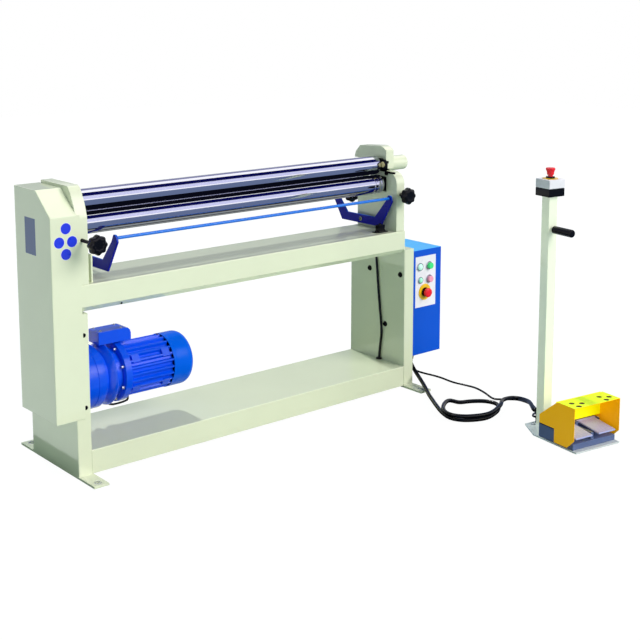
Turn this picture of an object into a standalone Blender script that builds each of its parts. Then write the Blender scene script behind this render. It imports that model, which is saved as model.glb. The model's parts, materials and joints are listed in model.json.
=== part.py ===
"""A powered slip roll with its pedal stand, built from separate solids.

X runs along the rolls to the right, Y from the operator to the back, Z up, in metres.
The machine is modelled from the outer face of its left leg, the front of its legs and the
floor, and the root empty then moves the bottom centre of its box to the origin.
"""
import math

import bmesh
import bpy
from mathutils import Vector

# Clearances
GAP = 0.0003            # between faces that touch
RUN = 0.0004            # round a turning or sliding piece
OVERRUN = 0.004         # by which a cut passes through

# Frame
ROLL_SPAN = 1.399       # clear width between the roll housings
HOUSING_WIDTH = 0.043
HOUSING_INSET = 0.0175  # left housing from the outer face of the left leg
LEG_WIDTH = 0.0515
LEG_DEPTH = 0.330
LEG_SHEET = 0.005
LEFT_LEG_DROP = 0.097   # top of the leg's flanges under the top of the beam
RIGHT_LEG_DROP = 0.081
FOOT_WIDTH = 0.0565
FOOT_SHEET = 0.008
FOOT_FRONT = 0.104
FOOT_BACK = 0.095
FOOT_HOLE_RADIUS = 0.007
FOOT_HOLE_INSET = 0.026
BEAM_TOP = 0.663
BEAM_DROP = 0.093
BEAM_LIP = 0.018
BEAM_SHEET = 0.004
PAN_TOP = 0.0915
PAN_DROP = 0.083
PAN_SHEET = 0.003

# Rolls
ROLL_RADIUS = 0.038
ROLL_CHAMFER = 0.0015
SHEET_GAP = 0.002       # between the pinch rolls
JOURNAL_RADIUS = 0.016
JOURNAL_BORE_ROOM = 0.0004
LOWER_AXIS_Y = 0.0905
LOWER_AXIS_RISE = 0.1887    # over the beam
PINCH_LEAN = math.radians(73.6)     # of the line through the pinch rolls' axes
REAR_SPACING = 0.0955   # of the rear roll behind the lower roll
REAR_AXIS_DROP = 0.0137
ROLL_END_GAP_LEFT = 0.003
ROLL_END_GAP_RIGHT = 0.0175
TAIL_LENGTH = 0.098     # of the top roll past the right housing
PINCH_TRAVEL_UP = 0.0015
PINCH_TRAVEL_DOWN = 0.002
REAR_TRAVEL = 0.030

# Bearings and housings
BLOCK_HALF = 0.028
REAR_BLOCK_HALF = 0.026
BLOCK_WIDTH = 0.040
PIVOT_BALL_RADIUS = 0.030
PIVOT_BALL_WIDTH = 0.030
TOP_BLOCK_REACH = 0.0265    # in front of the top roll's axis
TOP_BLOCK_TAIL = 0.0555
TOP_BLOCK_HEIGHT = 0.0475
TOP_BLOCK_WIDTH = 0.036
SLEEVE_RADIUS = 0.030
SEAT_DROP = 0.0215      # top of the right housing under the top roll's axis
LEFT_HOUSING_RISE = 0.0638
# Depth, drop and power of the curve of each shoulder
LEFT_SHOULDER = (0.0545, 0.109, 1.4)
RIGHT_SHOULDER = (0.050, 0.050, 2.0)
HOUSING_BACK_WALL = 0.024   # behind the rear block's window

# Cap of the right housing and its release lever
CAP_CROWN = 0.0521
CAP_ROOM = 0.001        # over the bearing block
CAP_FRONT_ROOM = 0.006
CAP_BACK_ROOM = 0.0032
CAP_FOOT_RISE = 0.008
CAP_OVERHANG = 0.022
CAP_LEG = 0.016
CAP_HEEL_ROOM = 0.0045
CAP_PIN_INSET = 0.008
CAP_PIN_RISE = 0.020
CAP_PIN_RADIUS = 0.006
CAP_LUG_RADIUS = 0.0155
CAP_LUG_WIDTH = 0.020
LEVER_Y = 0.058
LEVER_DROP = 0.008
LEVER_BOSS = 0.009
LEVER_LENGTH = 0.050
LEVER_WIDTH = 0.008
LEVER_SHEET = 0.006
LEVER_PIN_RADIUS = 0.005
LEVER_PIN_LENGTH = 0.022

# Drive
GEAR_TEETH = 16
GEAR_ADDENDUM = 0.0025
GEAR_DEDENDUM = 0.0072
GEAR_WIDTH = 0.018
GEAR_INSET = 0.011      # from the left leg to the gears
TOOTH_TIP_SHARE = 0.20
TOOTH_ROOT_SHARE = 0.46
SPROCKET_SPACE = 0.013
SPROCKET_WIDTH = 0.005
SPROCKET_TIP = 0.003
CHAIN_PITCH = 0.0127
DRIVEN_TEETH = 25
MOTOR_TEETH = 13
CHAIN_CLEAR = 0.0006
CHAIN_HEIGHT = 0.009
CHAIN_WIDTH = 0.010
TOP_JOURNAL_PROUD = 0.002
LOWER_JOURNAL_PROUD = 0.0035
COVER_ROOM = 0.0303     # from the chain to the cover's side face
COVER_SHEET = 0.002
COVER_FRONT_GAP = 0.0045
COVER_BACK_LAP = 0.0087
COVER_SKIRT = 0.0847    # under the motor's axis
COVER_RISE = 0.0537     # over the top roll's axis
COVER_SLANT_Y = 0.0919
COVER_SLANT_DROP = 0.0806
COVER_FLANGE_RIGHT = 0.0296
MOTOR_Y = 0.165
MOTOR_Z = 0.292
SHAFT_RADIUS = 0.0125
WEB_HOLE_RADIUS = 0.022
GEARBOX_RADIUS = 0.112
GEARBOX_LENGTH = 0.195
GEARBOX_NECK_RADIUS = 0.088
MOTOR_NECK = 0.030
FLANGE_RADIUS = 0.108
FLANGE_LENGTH = 0.028
FRAME_LENGTH = 0.207
FIN_TIP_RADIUS = 0.097
FIN_HEIGHT = 0.012
FIN_COUNT = 24
FIN_SHARE = 0.45
COWL_PROUD = 0.0015
COWL_SHEET = 0.002
COWL_LENGTH = 0.093
FAN_CLEAR = 0.0105
FAN_HUB_RADIUS = 0.022
FAN_WIDTH = 0.026
FAN_BLADES = 7
TERMINAL_LAP = 0.063    # over the gearbox's neck
TERMINAL_LENGTH = 0.130
TERMINAL_HEIGHT = 0.047
TERMINAL_HALF = 0.036
TERMINAL_ROUND = 0.022
LEAD_RADIUS = 0.004

# Adjusting knobs
KNOB_RADIUS = 0.034
KNOB_LOBES = 8
KNOB_LOBE_SHARE = 0.09
KNOB_WIDTH = 0.030
KNOB_HUB_RADIUS = 0.016
KNOB_HUB_LENGTH = 0.018
SCREW_RADIUS = 0.006
SCREW_DEPTH = 0.060
FRONT_SCREW_WALL = 0.0042
REAR_SCREW_WALL = 0.026
FRONT_REACH_LEFT = 0.100
FRONT_REACH_RIGHT = 0.044
REAR_REACH = 0.062

# Trip frame
TRIP_LEFT_X = 0.175
TRIP_RIGHT_INSET = 0.0195
TRIP_SHEET = 0.008
TRIP_PIVOT_Y = 0.190
TRIP_PIVOT_RISE = 0.032
TRIP_PIVOT_RADIUS = 0.008
TRIP_LINK_HALF = 0.018
TRIP_HEEL_FRONT = 0.072
TRIP_INNER_FRONT = 0.105
TRIP_ROOM = 0.0017      # under the lower roll
TRIP_SHOULDER_DROP = 0.024
TRIP_FRONT_Y = 0.004
TRIP_FRONT_WIDTH = 0.036
TRIP_ROD_RADIUS = 0.006
SWITCH_WIDTH = 0.030
SWITCH_DEPTH = 0.024
SWITCH_HEIGHT = 0.030
SWITCH_Y = 0.030
SWITCH_INSET = 0.036    # from the right housing
SWITCH_ROLLER_RADIUS = 0.006
STOP_POST_X = 0.080
STOP_POST_WIDTH = 0.006
STOP_POST_Y = 0.020
STOP_POST_DEPTH = 0.025
STOP_POST_HEIGHT = 0.094

# Electric box
BOX_WIDTH = 0.160
BOX_DEPTH = 0.210
BOX_BOTTOM = 0.125
BOX_HEIGHT = 0.445
BOX_SHEET = 0.003
DOOR_SHEET = 0.0115
BUTTON_X = 0.0885       # from the left side of the box
START_DROP = 0.071
RESET_DROP = 0.1275
BUTTON_RADIUS = 0.013
BUTTON_STEM_RADIUS = 0.009
BUTTON_LENGTH = 0.012
BUTTON_ROUND = 0.0015
BUTTON_TRAVEL = 0.004
BOX_STOP_X = 0.0645
BOX_STOP_DROP = 0.1805
STOP_HEAD_RADIUS = 0.020
STOP_HEAD_LENGTH = 0.016
STOP_HEAD_SHARES = ((0.0, 0.5), (0.25, 0.9), (0.5, 1.0), (1.0, 0.9))    # of length and radius
STOP_COLLAR = 0.009
STOP_TRAVEL = 0.005
GLAND_RADIUS = 0.012
THIN_GLAND_RADIUS = 0.008
GLAND_TIP_SHARE = 0.85
GLAND_LENGTH = 0.022
GLAND_PLATE = 0.003

# Pedal stand, in its own frame from the front left corner of its plate
STAND_X = 1.457
STAND_Y = -0.930
STAND_TURN = math.radians(-8)
PLATE_WIDTH = 0.215
PLATE_BACK_MARGIN = 0.024
TAIL_DEPTH = 0.102
TAIL_INSET = 0.050
TAIL_MARGIN = 0.019
PLATE_SHEET = 0.006
POST_WIDTH = 0.040
POST_SHEET = 0.002
POST_TOP = 0.880
GRIP_DROP = 0.123       # under the top of the post
GRIP_RADIUS = 0.0145
GRIP_LENGTH = 0.104
GRIP_END_SHARE = 0.8
GRIP_NECK_RADIUS = 0.006
GRIP_NECK_LENGTH = 0.006
STOP_BOX_HALF = 0.0375
STOP_BOX_BASE = 0.030
STOP_BOX_LID = 0.033
STAND_STOP_RADIUS = 0.018
STAND_STOP_LENGTH = 0.026
STAND_STOP_SHARES = ((0.0, 0.7), (0.4, 0.76), (0.72, 0.94), (0.86, 1.0), (1.0, 0.84))
CASTING_SIDE = 0.004
CASTING_FRONT = 0.020
CASTING_BACK = 0.198
CASTING_DECK = 0.028
CASTING_STEP = 0.128
CASTING_TOP = 0.063
DIVIDER_HALF = 0.0065
DIVIDER_TOP = 0.052
DIVIDER_FRONT = 0.030
PEDAL_SHEET = 0.006
PEDAL_FRONT = 0.012
PEDAL_PIVOT_INSET = 0.008
PEDAL_DROP = 0.014      # of the front edge under the pivot
PEDAL_SIDE = 0.003       # between a pedal and the ear beside it
PEDAL_SLOT = 0.009       # between a pedal and the divider
EAR_WIDTH = 0.004
PEDAL_ROLL_RADIUS = 0.0055
GUARD_SHEET = 0.002
GUARD_SIDE = 0.0045
GUARD_TOP = 0.166
GUARD_FRONT = 0.008
GUARD_BEND = 0.096
GUARD_BACK_INSET = 0.011
GUARD_BACK_TOP = 0.095
GUARD_CHIN_Z = 0.045
GUARD_CHIN_Y = 0.043
GUARD_FOOT_Z = 0.012
GUARD_FOOT_BACK = 0.109
GUARD_HOLE_RADIUS = 0.0105
GUARD_HOLE_REACH = 0.021
GUARD_HOLE_Y = 0.041
GUARD_HOLE_X = 0.040
GUARD_HOLES = 3         # in each group

# Cables
PEDAL_CABLE_RADIUS = 0.008
STOP_CABLE_RADIUS = 0.004
LEG_CABLE_RADIUS = 0.005
POST_GLAND_Z = 0.046
POST_THIN_GLAND_Z = 0.022
# Places of the leg's cable, as shares of the leg's depth and of the height from pan to beam
LEG_CABLE_SHARES = ((0.509, 1.0), (0.509, 0.826), (0.479, 0.667), (0.452, 0.508), (0.418, 0.350),
                    (0.394, 0.219), (0.418, 0.103), (0.430, 0.043), (0.430, 0.0))

# Counts
ROLL_SIDES = 32
ROUND_SIDES = 24
SMALL_SIDES = 12
KNOB_SIDES = 32
CURVE_STEPS = 6
CHAIN_STEPS = 14

# Places worked out from the sizes above
JOURNAL_BORE = JOURNAL_RADIUS + JOURNAL_BORE_ROOM
PINCH_CENTRES = 2 * ROLL_RADIUS + SHEET_GAP
LOWER_AXIS_Z = BEAM_TOP + LOWER_AXIS_RISE
TOP_AXIS_Y = LOWER_AXIS_Y + PINCH_CENTRES * math.cos(PINCH_LEAN)
TOP_AXIS_Z = LOWER_AXIS_Z + PINCH_CENTRES * math.sin(PINCH_LEAN)
REAR_AXIS_Y = LOWER_AXIS_Y + REAR_SPACING
REAR_AXIS_Z = LOWER_AXIS_Z - REAR_AXIS_DROP
BODY_DEPTH = REAR_AXIS_Y + REAR_BLOCK_HALF + HOUSING_BACK_WALL  # of the beam and the housings
HOUSING_SEAT_Z = TOP_AXIS_Z - SEAT_DROP     # top of the right housing
LEFT_HOUSING_TOP = TOP_AXIS_Z + LEFT_HOUSING_RISE
LEG_WEB_TOP = BEAM_TOP - 2 * BEAM_SHEET
LEFT_HOUSING_IN = HOUSING_INSET + HOUSING_WIDTH
RIGHT_HOUSING_IN = LEFT_HOUSING_IN + ROLL_SPAN
RIGHT_HOUSING_OUT = RIGHT_HOUSING_IN + HOUSING_WIDTH
RIGHT_LEG_X = RIGHT_HOUSING_OUT + LEG_SHEET + GAP
RIGHT_LEG_OUT = RIGHT_LEG_X + LEG_WIDTH
HOUSING_MIDDLE = HOUSING_WIDTH / 2
LEFT_MIDDLE = HOUSING_INSET + HOUSING_MIDDLE
RIGHT_MIDDLE = RIGHT_HOUSING_IN + HOUSING_MIDDLE
ROLL_START = LEFT_HOUSING_IN + ROLL_END_GAP_LEFT
ROLL_END = RIGHT_HOUSING_IN - ROLL_END_GAP_RIGHT
TOP_BLOCK_FRONT = TOP_AXIS_Y - TOP_BLOCK_REACH
TOP_BLOCK_BACK = TOP_AXIS_Y + TOP_BLOCK_TAIL
CAP_FRONT = TOP_BLOCK_FRONT - CAP_FRONT_ROOM - CAP_LEG
CAP_BACK = BODY_DEPTH + CAP_OVERHANG
CAP_INNER_TOP = HOUSING_SEAT_Z + TOP_BLOCK_HEIGHT + CAP_ROOM + RUN
CAP_TOP = CAP_INNER_TOP + CAP_CROWN
CAP_PIN_Y = BODY_DEPTH - CAP_PIN_INSET
CAP_PIN_Z = HOUSING_SEAT_Z + CAP_PIN_RISE
CAP_UNDERSIDE = CAP_PIN_Z + CAP_LUG_RADIUS + CAP_HEEL_ROOM
LEVER_Z = HOUSING_SEAT_Z - LEVER_DROP
FRONT_SCREW_Z = LOWER_AXIS_Z - BLOCK_HALF - SCREW_RADIUS - FRONT_SCREW_WALL
REAR_SCREW_Z = REAR_AXIS_Z - REAR_BLOCK_HALF - SCREW_RADIUS - REAR_SCREW_WALL
GEAR_OUTER = PINCH_CENTRES / 2 + GEAR_ADDENDUM
GEAR_ROOT = PINCH_CENTRES / 2 - GEAR_DEDENDUM
GEAR_CENTRE_X = -GEAR_INSET - GEAR_WIDTH / 2
SPROCKET_X = -GEAR_INSET - GEAR_WIDTH - SPROCKET_SPACE
TOP_DRIVE_END = GEAR_INSET + GEAR_WIDTH + TOP_JOURNAL_PROUD     # of the top journal past the left leg
DRIVE_END = SPROCKET_WIDTH / 2 + LOWER_JOURNAL_PROUD - SPROCKET_X
COVER_OUT = CHAIN_WIDTH / 2 + COVER_ROOM - SPROCKET_X   # side face of the cover from the left leg
COVER_BACK = BODY_DEPTH + COVER_BACK_LAP
COVER_BOTTOM = MOTOR_Z - COVER_SKIRT
COVER_TOP = TOP_AXIS_Z + COVER_RISE
COVER_SLANT_Z = COVER_TOP - COVER_SLANT_DROP
FLANGE_START = GEARBOX_LENGTH + MOTOR_NECK
FRAME_END = FLANGE_START + FRAME_LENGTH
FIN_ROOT_RADIUS = FIN_TIP_RADIUS - FIN_HEIGHT
COWL_RADIUS = FIN_TIP_RADIUS + COWL_PROUD
COWL_START = FRAME_END + GAP
COWL_END = FRAME_END + COWL_LENGTH
FAN_RADIUS = COWL_RADIUS - COWL_SHEET - FAN_CLEAR
TERMINAL_START = FLANGE_START - TERMINAL_LAP
TERMINAL_END = TERMINAL_START + TERMINAL_LENGTH
TERMINAL_TOP = MOTOR_Z + GEARBOX_RADIUS + GAP + TERMINAL_HEIGHT
TRIP_RIGHT_X = RIGHT_HOUSING_IN - TRIP_RIGHT_INSET
TRIP_PIVOT_Z = BEAM_TOP + TRIP_PIVOT_RISE
TRIP_LINK_BOTTOM = TRIP_PIVOT_Z - TRIP_LINK_HALF
TRIP_LINK_TOP = TRIP_PIVOT_Z + TRIP_LINK_HALF
TRIP_TOP = LOWER_AXIS_Z - ROLL_RADIUS - TRIP_ROOM
TRIP_SHOULDER = TRIP_TOP - TRIP_SHOULDER_DROP
BOX_X = RIGHT_LEG_OUT + GAP
BOX_TOP = BOX_BOTTOM + BOX_HEIGHT
START_Z = BOX_TOP - START_DROP
RESET_Z = BOX_TOP - RESET_DROP
BOX_STOP_Z = BOX_TOP - BOX_STOP_DROP
PEDAL_EXIT = (BOX_X + 2 * GLAND_RADIUS, DOOR_SHEET + 2 * GLAND_RADIUS)
STOP_EXIT = (BOX_X + BOX_WIDTH / 2, BOX_DEPTH - 5 * THIN_GLAND_RADIUS)
PLATE_DEPTH = CASTING_BACK + PLATE_BACK_MARGIN
POST_Y = PLATE_DEPTH + TAIL_DEPTH - TAIL_MARGIN - POST_WIDTH / 2
GRIP_Z = POST_TOP - GRIP_DROP
PEDAL_PIVOT_Y = CASTING_STEP - PEDAL_PIVOT_INSET
PEDAL_PIVOT_Z = CASTING_TOP
PEDAL_FRONT_Z = PEDAL_PIVOT_Z - PEDAL_DROP
GUARD_BACK = CASTING_BACK - GUARD_BACK_INSET
GUARD_BACK_FOOT = CASTING_TOP + GAP


def finish(name, colour, roughness, metallic=0.0):
    """Makes a material with a Principled BSDF of one colour."""
    material = bpy.data.materials.new(name)
    material.use_nodes = True
    shader = material.node_tree.nodes["Principled BSDF"]
    shader.inputs["Base Color"].default_value = (*colour, 1.0)
    shader.inputs["Roughness"].default_value = roughness
    shader.inputs["Metallic"].default_value = metallic
    return material


def make_finishes():
    """Makes the finishes of the real machine, by name."""
    return {
        "cream": finish("cream_paint", (0.76, 0.85, 0.62), 0.35),
        "steel": finish("polished_steel", (0.62, 0.63, 0.66), 0.18, 1.0),
        "cast": finish("machined_iron", (0.36, 0.37, 0.38), 0.40, 1.0),
        "black": finish("black_plastic", (0.012, 0.012, 0.014), 0.30),
        "black_iron": finish("blacked_steel", (0.02, 0.02, 0.02), 0.40, 0.6),
        "motor": finish("blue_gloss_paint", (0.005, 0.03, 0.42), 0.25),
        "box": finish("blue_box_paint", (0.0, 0.10, 0.75), 0.40),
        "trip": finish("blue_bar_paint", (0.0, 0.08, 0.45), 0.30),
        "green": finish("green_button", (0.02, 0.55, 0.22), 0.30),
        "pink": finish("pink_button", (0.85, 0.35, 0.45), 0.30),
        "red": finish("red_button", (0.75, 0.02, 0.03), 0.30),
        "white": finish("white_plastic", (0.82, 0.83, 0.85), 0.40),
        "guard": finish("yellow_guard_paint", (0.90, 0.55, 0.0), 0.40),
        "grey": finish("grey_blue_casting", (0.16, 0.21, 0.35), 0.45),
        "pale": finish("pale_plate_paint", (0.70, 0.75, 0.70), 0.45),
        "pedal": finish("pedal_metal", (0.48, 0.46, 0.55), 0.35, 0.8),
        "rubber": finish("cable_rubber", (0.01, 0.01, 0.01), 0.55),
    }


def place(name, mesh, material, origin, parent):
    """Adds a mesh object that stands at its origin under its parent."""
    item = bpy.data.objects.new(name, mesh)
    bpy.context.scene.collection.objects.link(item)
    mesh.materials.append(material)
    item.location = origin
    item.parent = parent
    return item


def solid(name, form, material, parent, origin=(0.0, 0.0, 0.0)):
    """Turns a bmesh, built in its parent's frame, into an object with the given origin."""
    bmesh.ops.translate(form, verts=form.verts, vec=-Vector(origin))
    bmesh.ops.recalc_face_normals(form, faces=form.faces)
    mesh = bpy.data.meshes.new(name)
    form.to_mesh(mesh)
    form.free()
    mesh.shade_smooth()
    mesh.set_sharp_from_angle(angle=math.radians(32))
    return place(name, mesh, material, origin, parent)


def at_axis(axis, along, u, v):
    """Gives the point at a place along an axis and at u, v across it."""
    if axis == "X":
        return (along, u, v)
    if axis == "Y":
        return (u, along, v)
    return (u, v, along)


def loft(rings):
    """Joins rings of equally many points into one closed form with flat ends."""
    form = bmesh.new()
    rows = [[form.verts.new(point) for point in ring] for ring in rings]
    count = len(rows[0])
    for near, far in zip(rows, rows[1:]):
        for k in range(count):
            nxt = (k + 1) % count
            form.faces.new((near[k], near[nxt], far[nxt], far[k]))
    form.faces.new(rows[0])
    form.faces.new(list(reversed(rows[-1])))
    return form


def prism(outline, low, high, axis="X"):
    """Extrudes a flat outline along an axis."""
    return loft([[at_axis(axis, along, u, v) for u, v in outline] for along in (low, high)])


def block(low, high):
    """Makes a box between two corners."""
    (x0, y0, z0), (x1, y1, z1) = low, high
    return prism([(y0, z0), (y1, z0), (y1, z1), (y0, z1)], x0, x1)


def circle(radius, sides, u=0.0, v=0.0, turn=0.0):
    """Gives the points of a circle round u, v."""
    step = 2 * math.pi / sides
    return [(u + radius * math.cos(turn + k * step), v + radius * math.sin(turn + k * step))
            for k in range(sides)]


def turned(profile, sides, axis, u, v):
    """Turns a profile of (place along the axis, radius) into a round form."""
    return loft([[at_axis(axis, along, a, b) for a, b in circle(radius, sides, u, v)]
                 for along, radius in profile])


def ring_form(profile, sides, axis, u, v):
    """Turns a closed profile of (place, radius) that stays off the axis into a ring."""
    form = bmesh.new()
    rows = [[form.verts.new(at_axis(axis, along, a, b)) for a, b in circle(radius, sides, u, v)]
            for along, radius in profile]
    for near, far in zip(rows, rows[1:] + rows[:1]):
        for k in range(sides):
            nxt = (k + 1) % sides
            form.faces.new((near[k], near[nxt], far[nxt], far[k]))
    return form


def folded(points, thickness):
    """Gives the outline of a folded sheet whose one face runs along the points."""
    offset = []
    for k, point in enumerate(points):
        here = Vector(point)
        before = (here - Vector(points[k - 1])).normalized() if k else None
        after = (Vector(points[k + 1]) - here).normalized() if k + 1 < len(points) else None
        one = before or after
        two = after or before
        middle = (one + two).normalized()
        normal = Vector((-middle.y, middle.x))
        reach = thickness / normal.dot(Vector((-one.y, one.x)))
        offset.append(tuple(here + normal * reach))
    return [tuple(p) for p in points] + offset[::-1]


def cutter(name, form, parent, origin=(0.0, 0.0, 0.0)):
    """Makes an object that only cuts or adds to others."""
    tool = solid("tool_" + name, form, bpy.data.materials["machined_iron"], parent, origin)
    tool.hide_render = True
    tool.display_type = "WIRE"
    return tool


def change(item, tool, operation):
    """Adds an exact Boolean to an object."""
    modifier = item.modifiers.new(tool.name, "BOOLEAN")
    modifier.operation = operation
    modifier.object = tool
    modifier.solver = "EXACT"


def cut(item, form, parent):
    """Cuts a form, built in the parent's frame, out of an object."""
    change(item, cutter(item.name + "_cut_%d" % len(item.modifiers), form, parent), "DIFFERENCE")


def weld(item, form, parent):
    """Adds a form, built in the parent's frame, to an object."""
    change(item, cutter(item.name + "_add_%d" % len(item.modifiers), form, parent), "UNION")


def bore(item, parent, axis, low, high, radius, u, v, sides=ROUND_SIDES):
    """Drills a round hole through an object."""
    cut(item, turned([(low, radius), (high, radius)], sides, axis, u, v), parent)


def leg(name, x, flange_top, paint, root):
    """Makes a leg: a folded channel with a tall web, a closed top and its foot plate."""
    outline = [(x, 0.0), (x + LEG_WIDTH, 0.0), (x + LEG_WIDTH, LEG_SHEET), (x + LEG_SHEET, LEG_SHEET),
               (x + LEG_SHEET, LEG_DEPTH - LEG_SHEET), (x + LEG_WIDTH, LEG_DEPTH - LEG_SHEET),
               (x + LEG_WIDTH, LEG_DEPTH), (x, LEG_DEPTH)]
    post = solid(name, prism(outline, FOOT_SHEET - GAP, flange_top, "Z"), paint, root)
    weld(post, block((x, 0.0, flange_top - LEG_SHEET), (x + LEG_WIDTH, LEG_DEPTH, flange_top)), root)
    weld(post, block((x, LEG_SHEET, flange_top - 2 * LEG_SHEET),
                     (x + LEG_SHEET, BODY_DEPTH, LEG_WEB_TOP)), root)
    weld(post, block((x, -FOOT_FRONT, 0.0), (x + FOOT_WIDTH, LEG_DEPTH + FOOT_BACK, FOOT_SHEET)), root)
    for y in (-FOOT_FRONT + FOOT_HOLE_INSET, LEG_DEPTH + FOOT_BACK - FOOT_HOLE_INSET):
        bore(post, root, "Z", -OVERRUN, FOOT_SHEET + OVERRUN, FOOT_HOLE_RADIUS, x + FOOT_WIDTH / 2, y,
             SMALL_SIDES)
    return post


def channel(top, drop, lip, depth, sheet):
    """Gives the outline of a sheet bent down at front and back, with lips turned in."""
    low = top - drop
    points = [(lip, low), (0.0, low + lip), (0.0, top), (depth, top), (depth, low + lip),
              (depth - lip, low)]
    return folded(points, -sheet)


def build_frame(paints, root):
    """Makes the legs, the base pan and the top beam with its stop post."""
    cream = paints["cream"]
    left = leg("left_leg", 0.0, BEAM_TOP - LEFT_LEG_DROP, cream, root)
    bore(left, root, "X", -OVERRUN, LEG_SHEET + OVERRUN, WEB_HOLE_RADIUS, MOTOR_Y, MOTOR_Z)
    leg("right_leg", RIGHT_LEG_X, BEAM_TOP - RIGHT_LEG_DROP, cream, root)
    pan = folded([(0.0, PAN_TOP - PAN_DROP), (0.0, PAN_TOP), (LEG_DEPTH, PAN_TOP),
                  (LEG_DEPTH, PAN_TOP - PAN_DROP)], -PAN_SHEET)
    solid("base_pan", prism(pan, LEG_WIDTH + GAP, RIGHT_LEG_X - GAP), cream, root)
    beam = channel(BEAM_TOP, BEAM_DROP, BEAM_LIP, BODY_DEPTH, BEAM_SHEET)
    top = solid("top_beam", prism(beam, LEG_SHEET + GAP, RIGHT_LEG_X - GAP), cream, root)
    weld(top, block((STOP_POST_X, STOP_POST_Y, BEAM_TOP - BEAM_SHEET / 2),
                    (STOP_POST_X + STOP_POST_WIDTH, STOP_POST_Y + STOP_POST_DEPTH,
                     BEAM_TOP + STOP_POST_HEIGHT)), root)


def housing_shoulder(top, depth, drop, power):
    """Returns the rounded front of a housing from its front face up to its flat top."""
    turns = [math.radians(90) * k / CURVE_STEPS for k in range(CURVE_STEPS + 1)]
    return [(depth * (1 - math.cos(turn) ** (2 / power)), top - drop * (1 - math.sin(turn) ** (2 / power)))
            for turn in turns]


def window(item, root, x, y, z, half, down, up):
    """Cuts the window in which a bearing block slides."""
    cut(item, block((x - OVERRUN, y - half - RUN, z - half - down - RUN),
                    (x + HOUSING_WIDTH + OVERRUN, y + half + RUN, z + half + up + RUN)), root)


def housing(name, x, top, shoulder, paint, root):
    """Makes a roll housing with the windows of the pinch and rear bearing blocks."""
    outline = [(0.0, BEAM_TOP + GAP)] + housing_shoulder(top, *shoulder)
    outline += [(BODY_DEPTH, top), (BODY_DEPTH, BEAM_TOP + GAP)]
    cheek = solid(name, prism(outline, x, x + HOUSING_WIDTH), paint, root)
    window(cheek, root, x, LOWER_AXIS_Y, LOWER_AXIS_Z, BLOCK_HALF,
           PINCH_TRAVEL_DOWN + RUN, PINCH_TRAVEL_UP)
    window(cheek, root, x, REAR_AXIS_Y, REAR_AXIS_Z, REAR_BLOCK_HALF, GAP, REAR_TRAVEL)
    middle = x + HOUSING_MIDDLE
    bore(cheek, root, "Y", -OVERRUN, SCREW_DEPTH + OVERRUN, SCREW_RADIUS + RUN, middle, FRONT_SCREW_Z,
         SMALL_SIDES)
    bore(cheek, root, "Y", BODY_DEPTH - SCREW_DEPTH - OVERRUN, BODY_DEPTH + OVERRUN,
         SCREW_RADIUS + RUN, middle, REAR_SCREW_Z, SMALL_SIDES)
    return cheek


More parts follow.
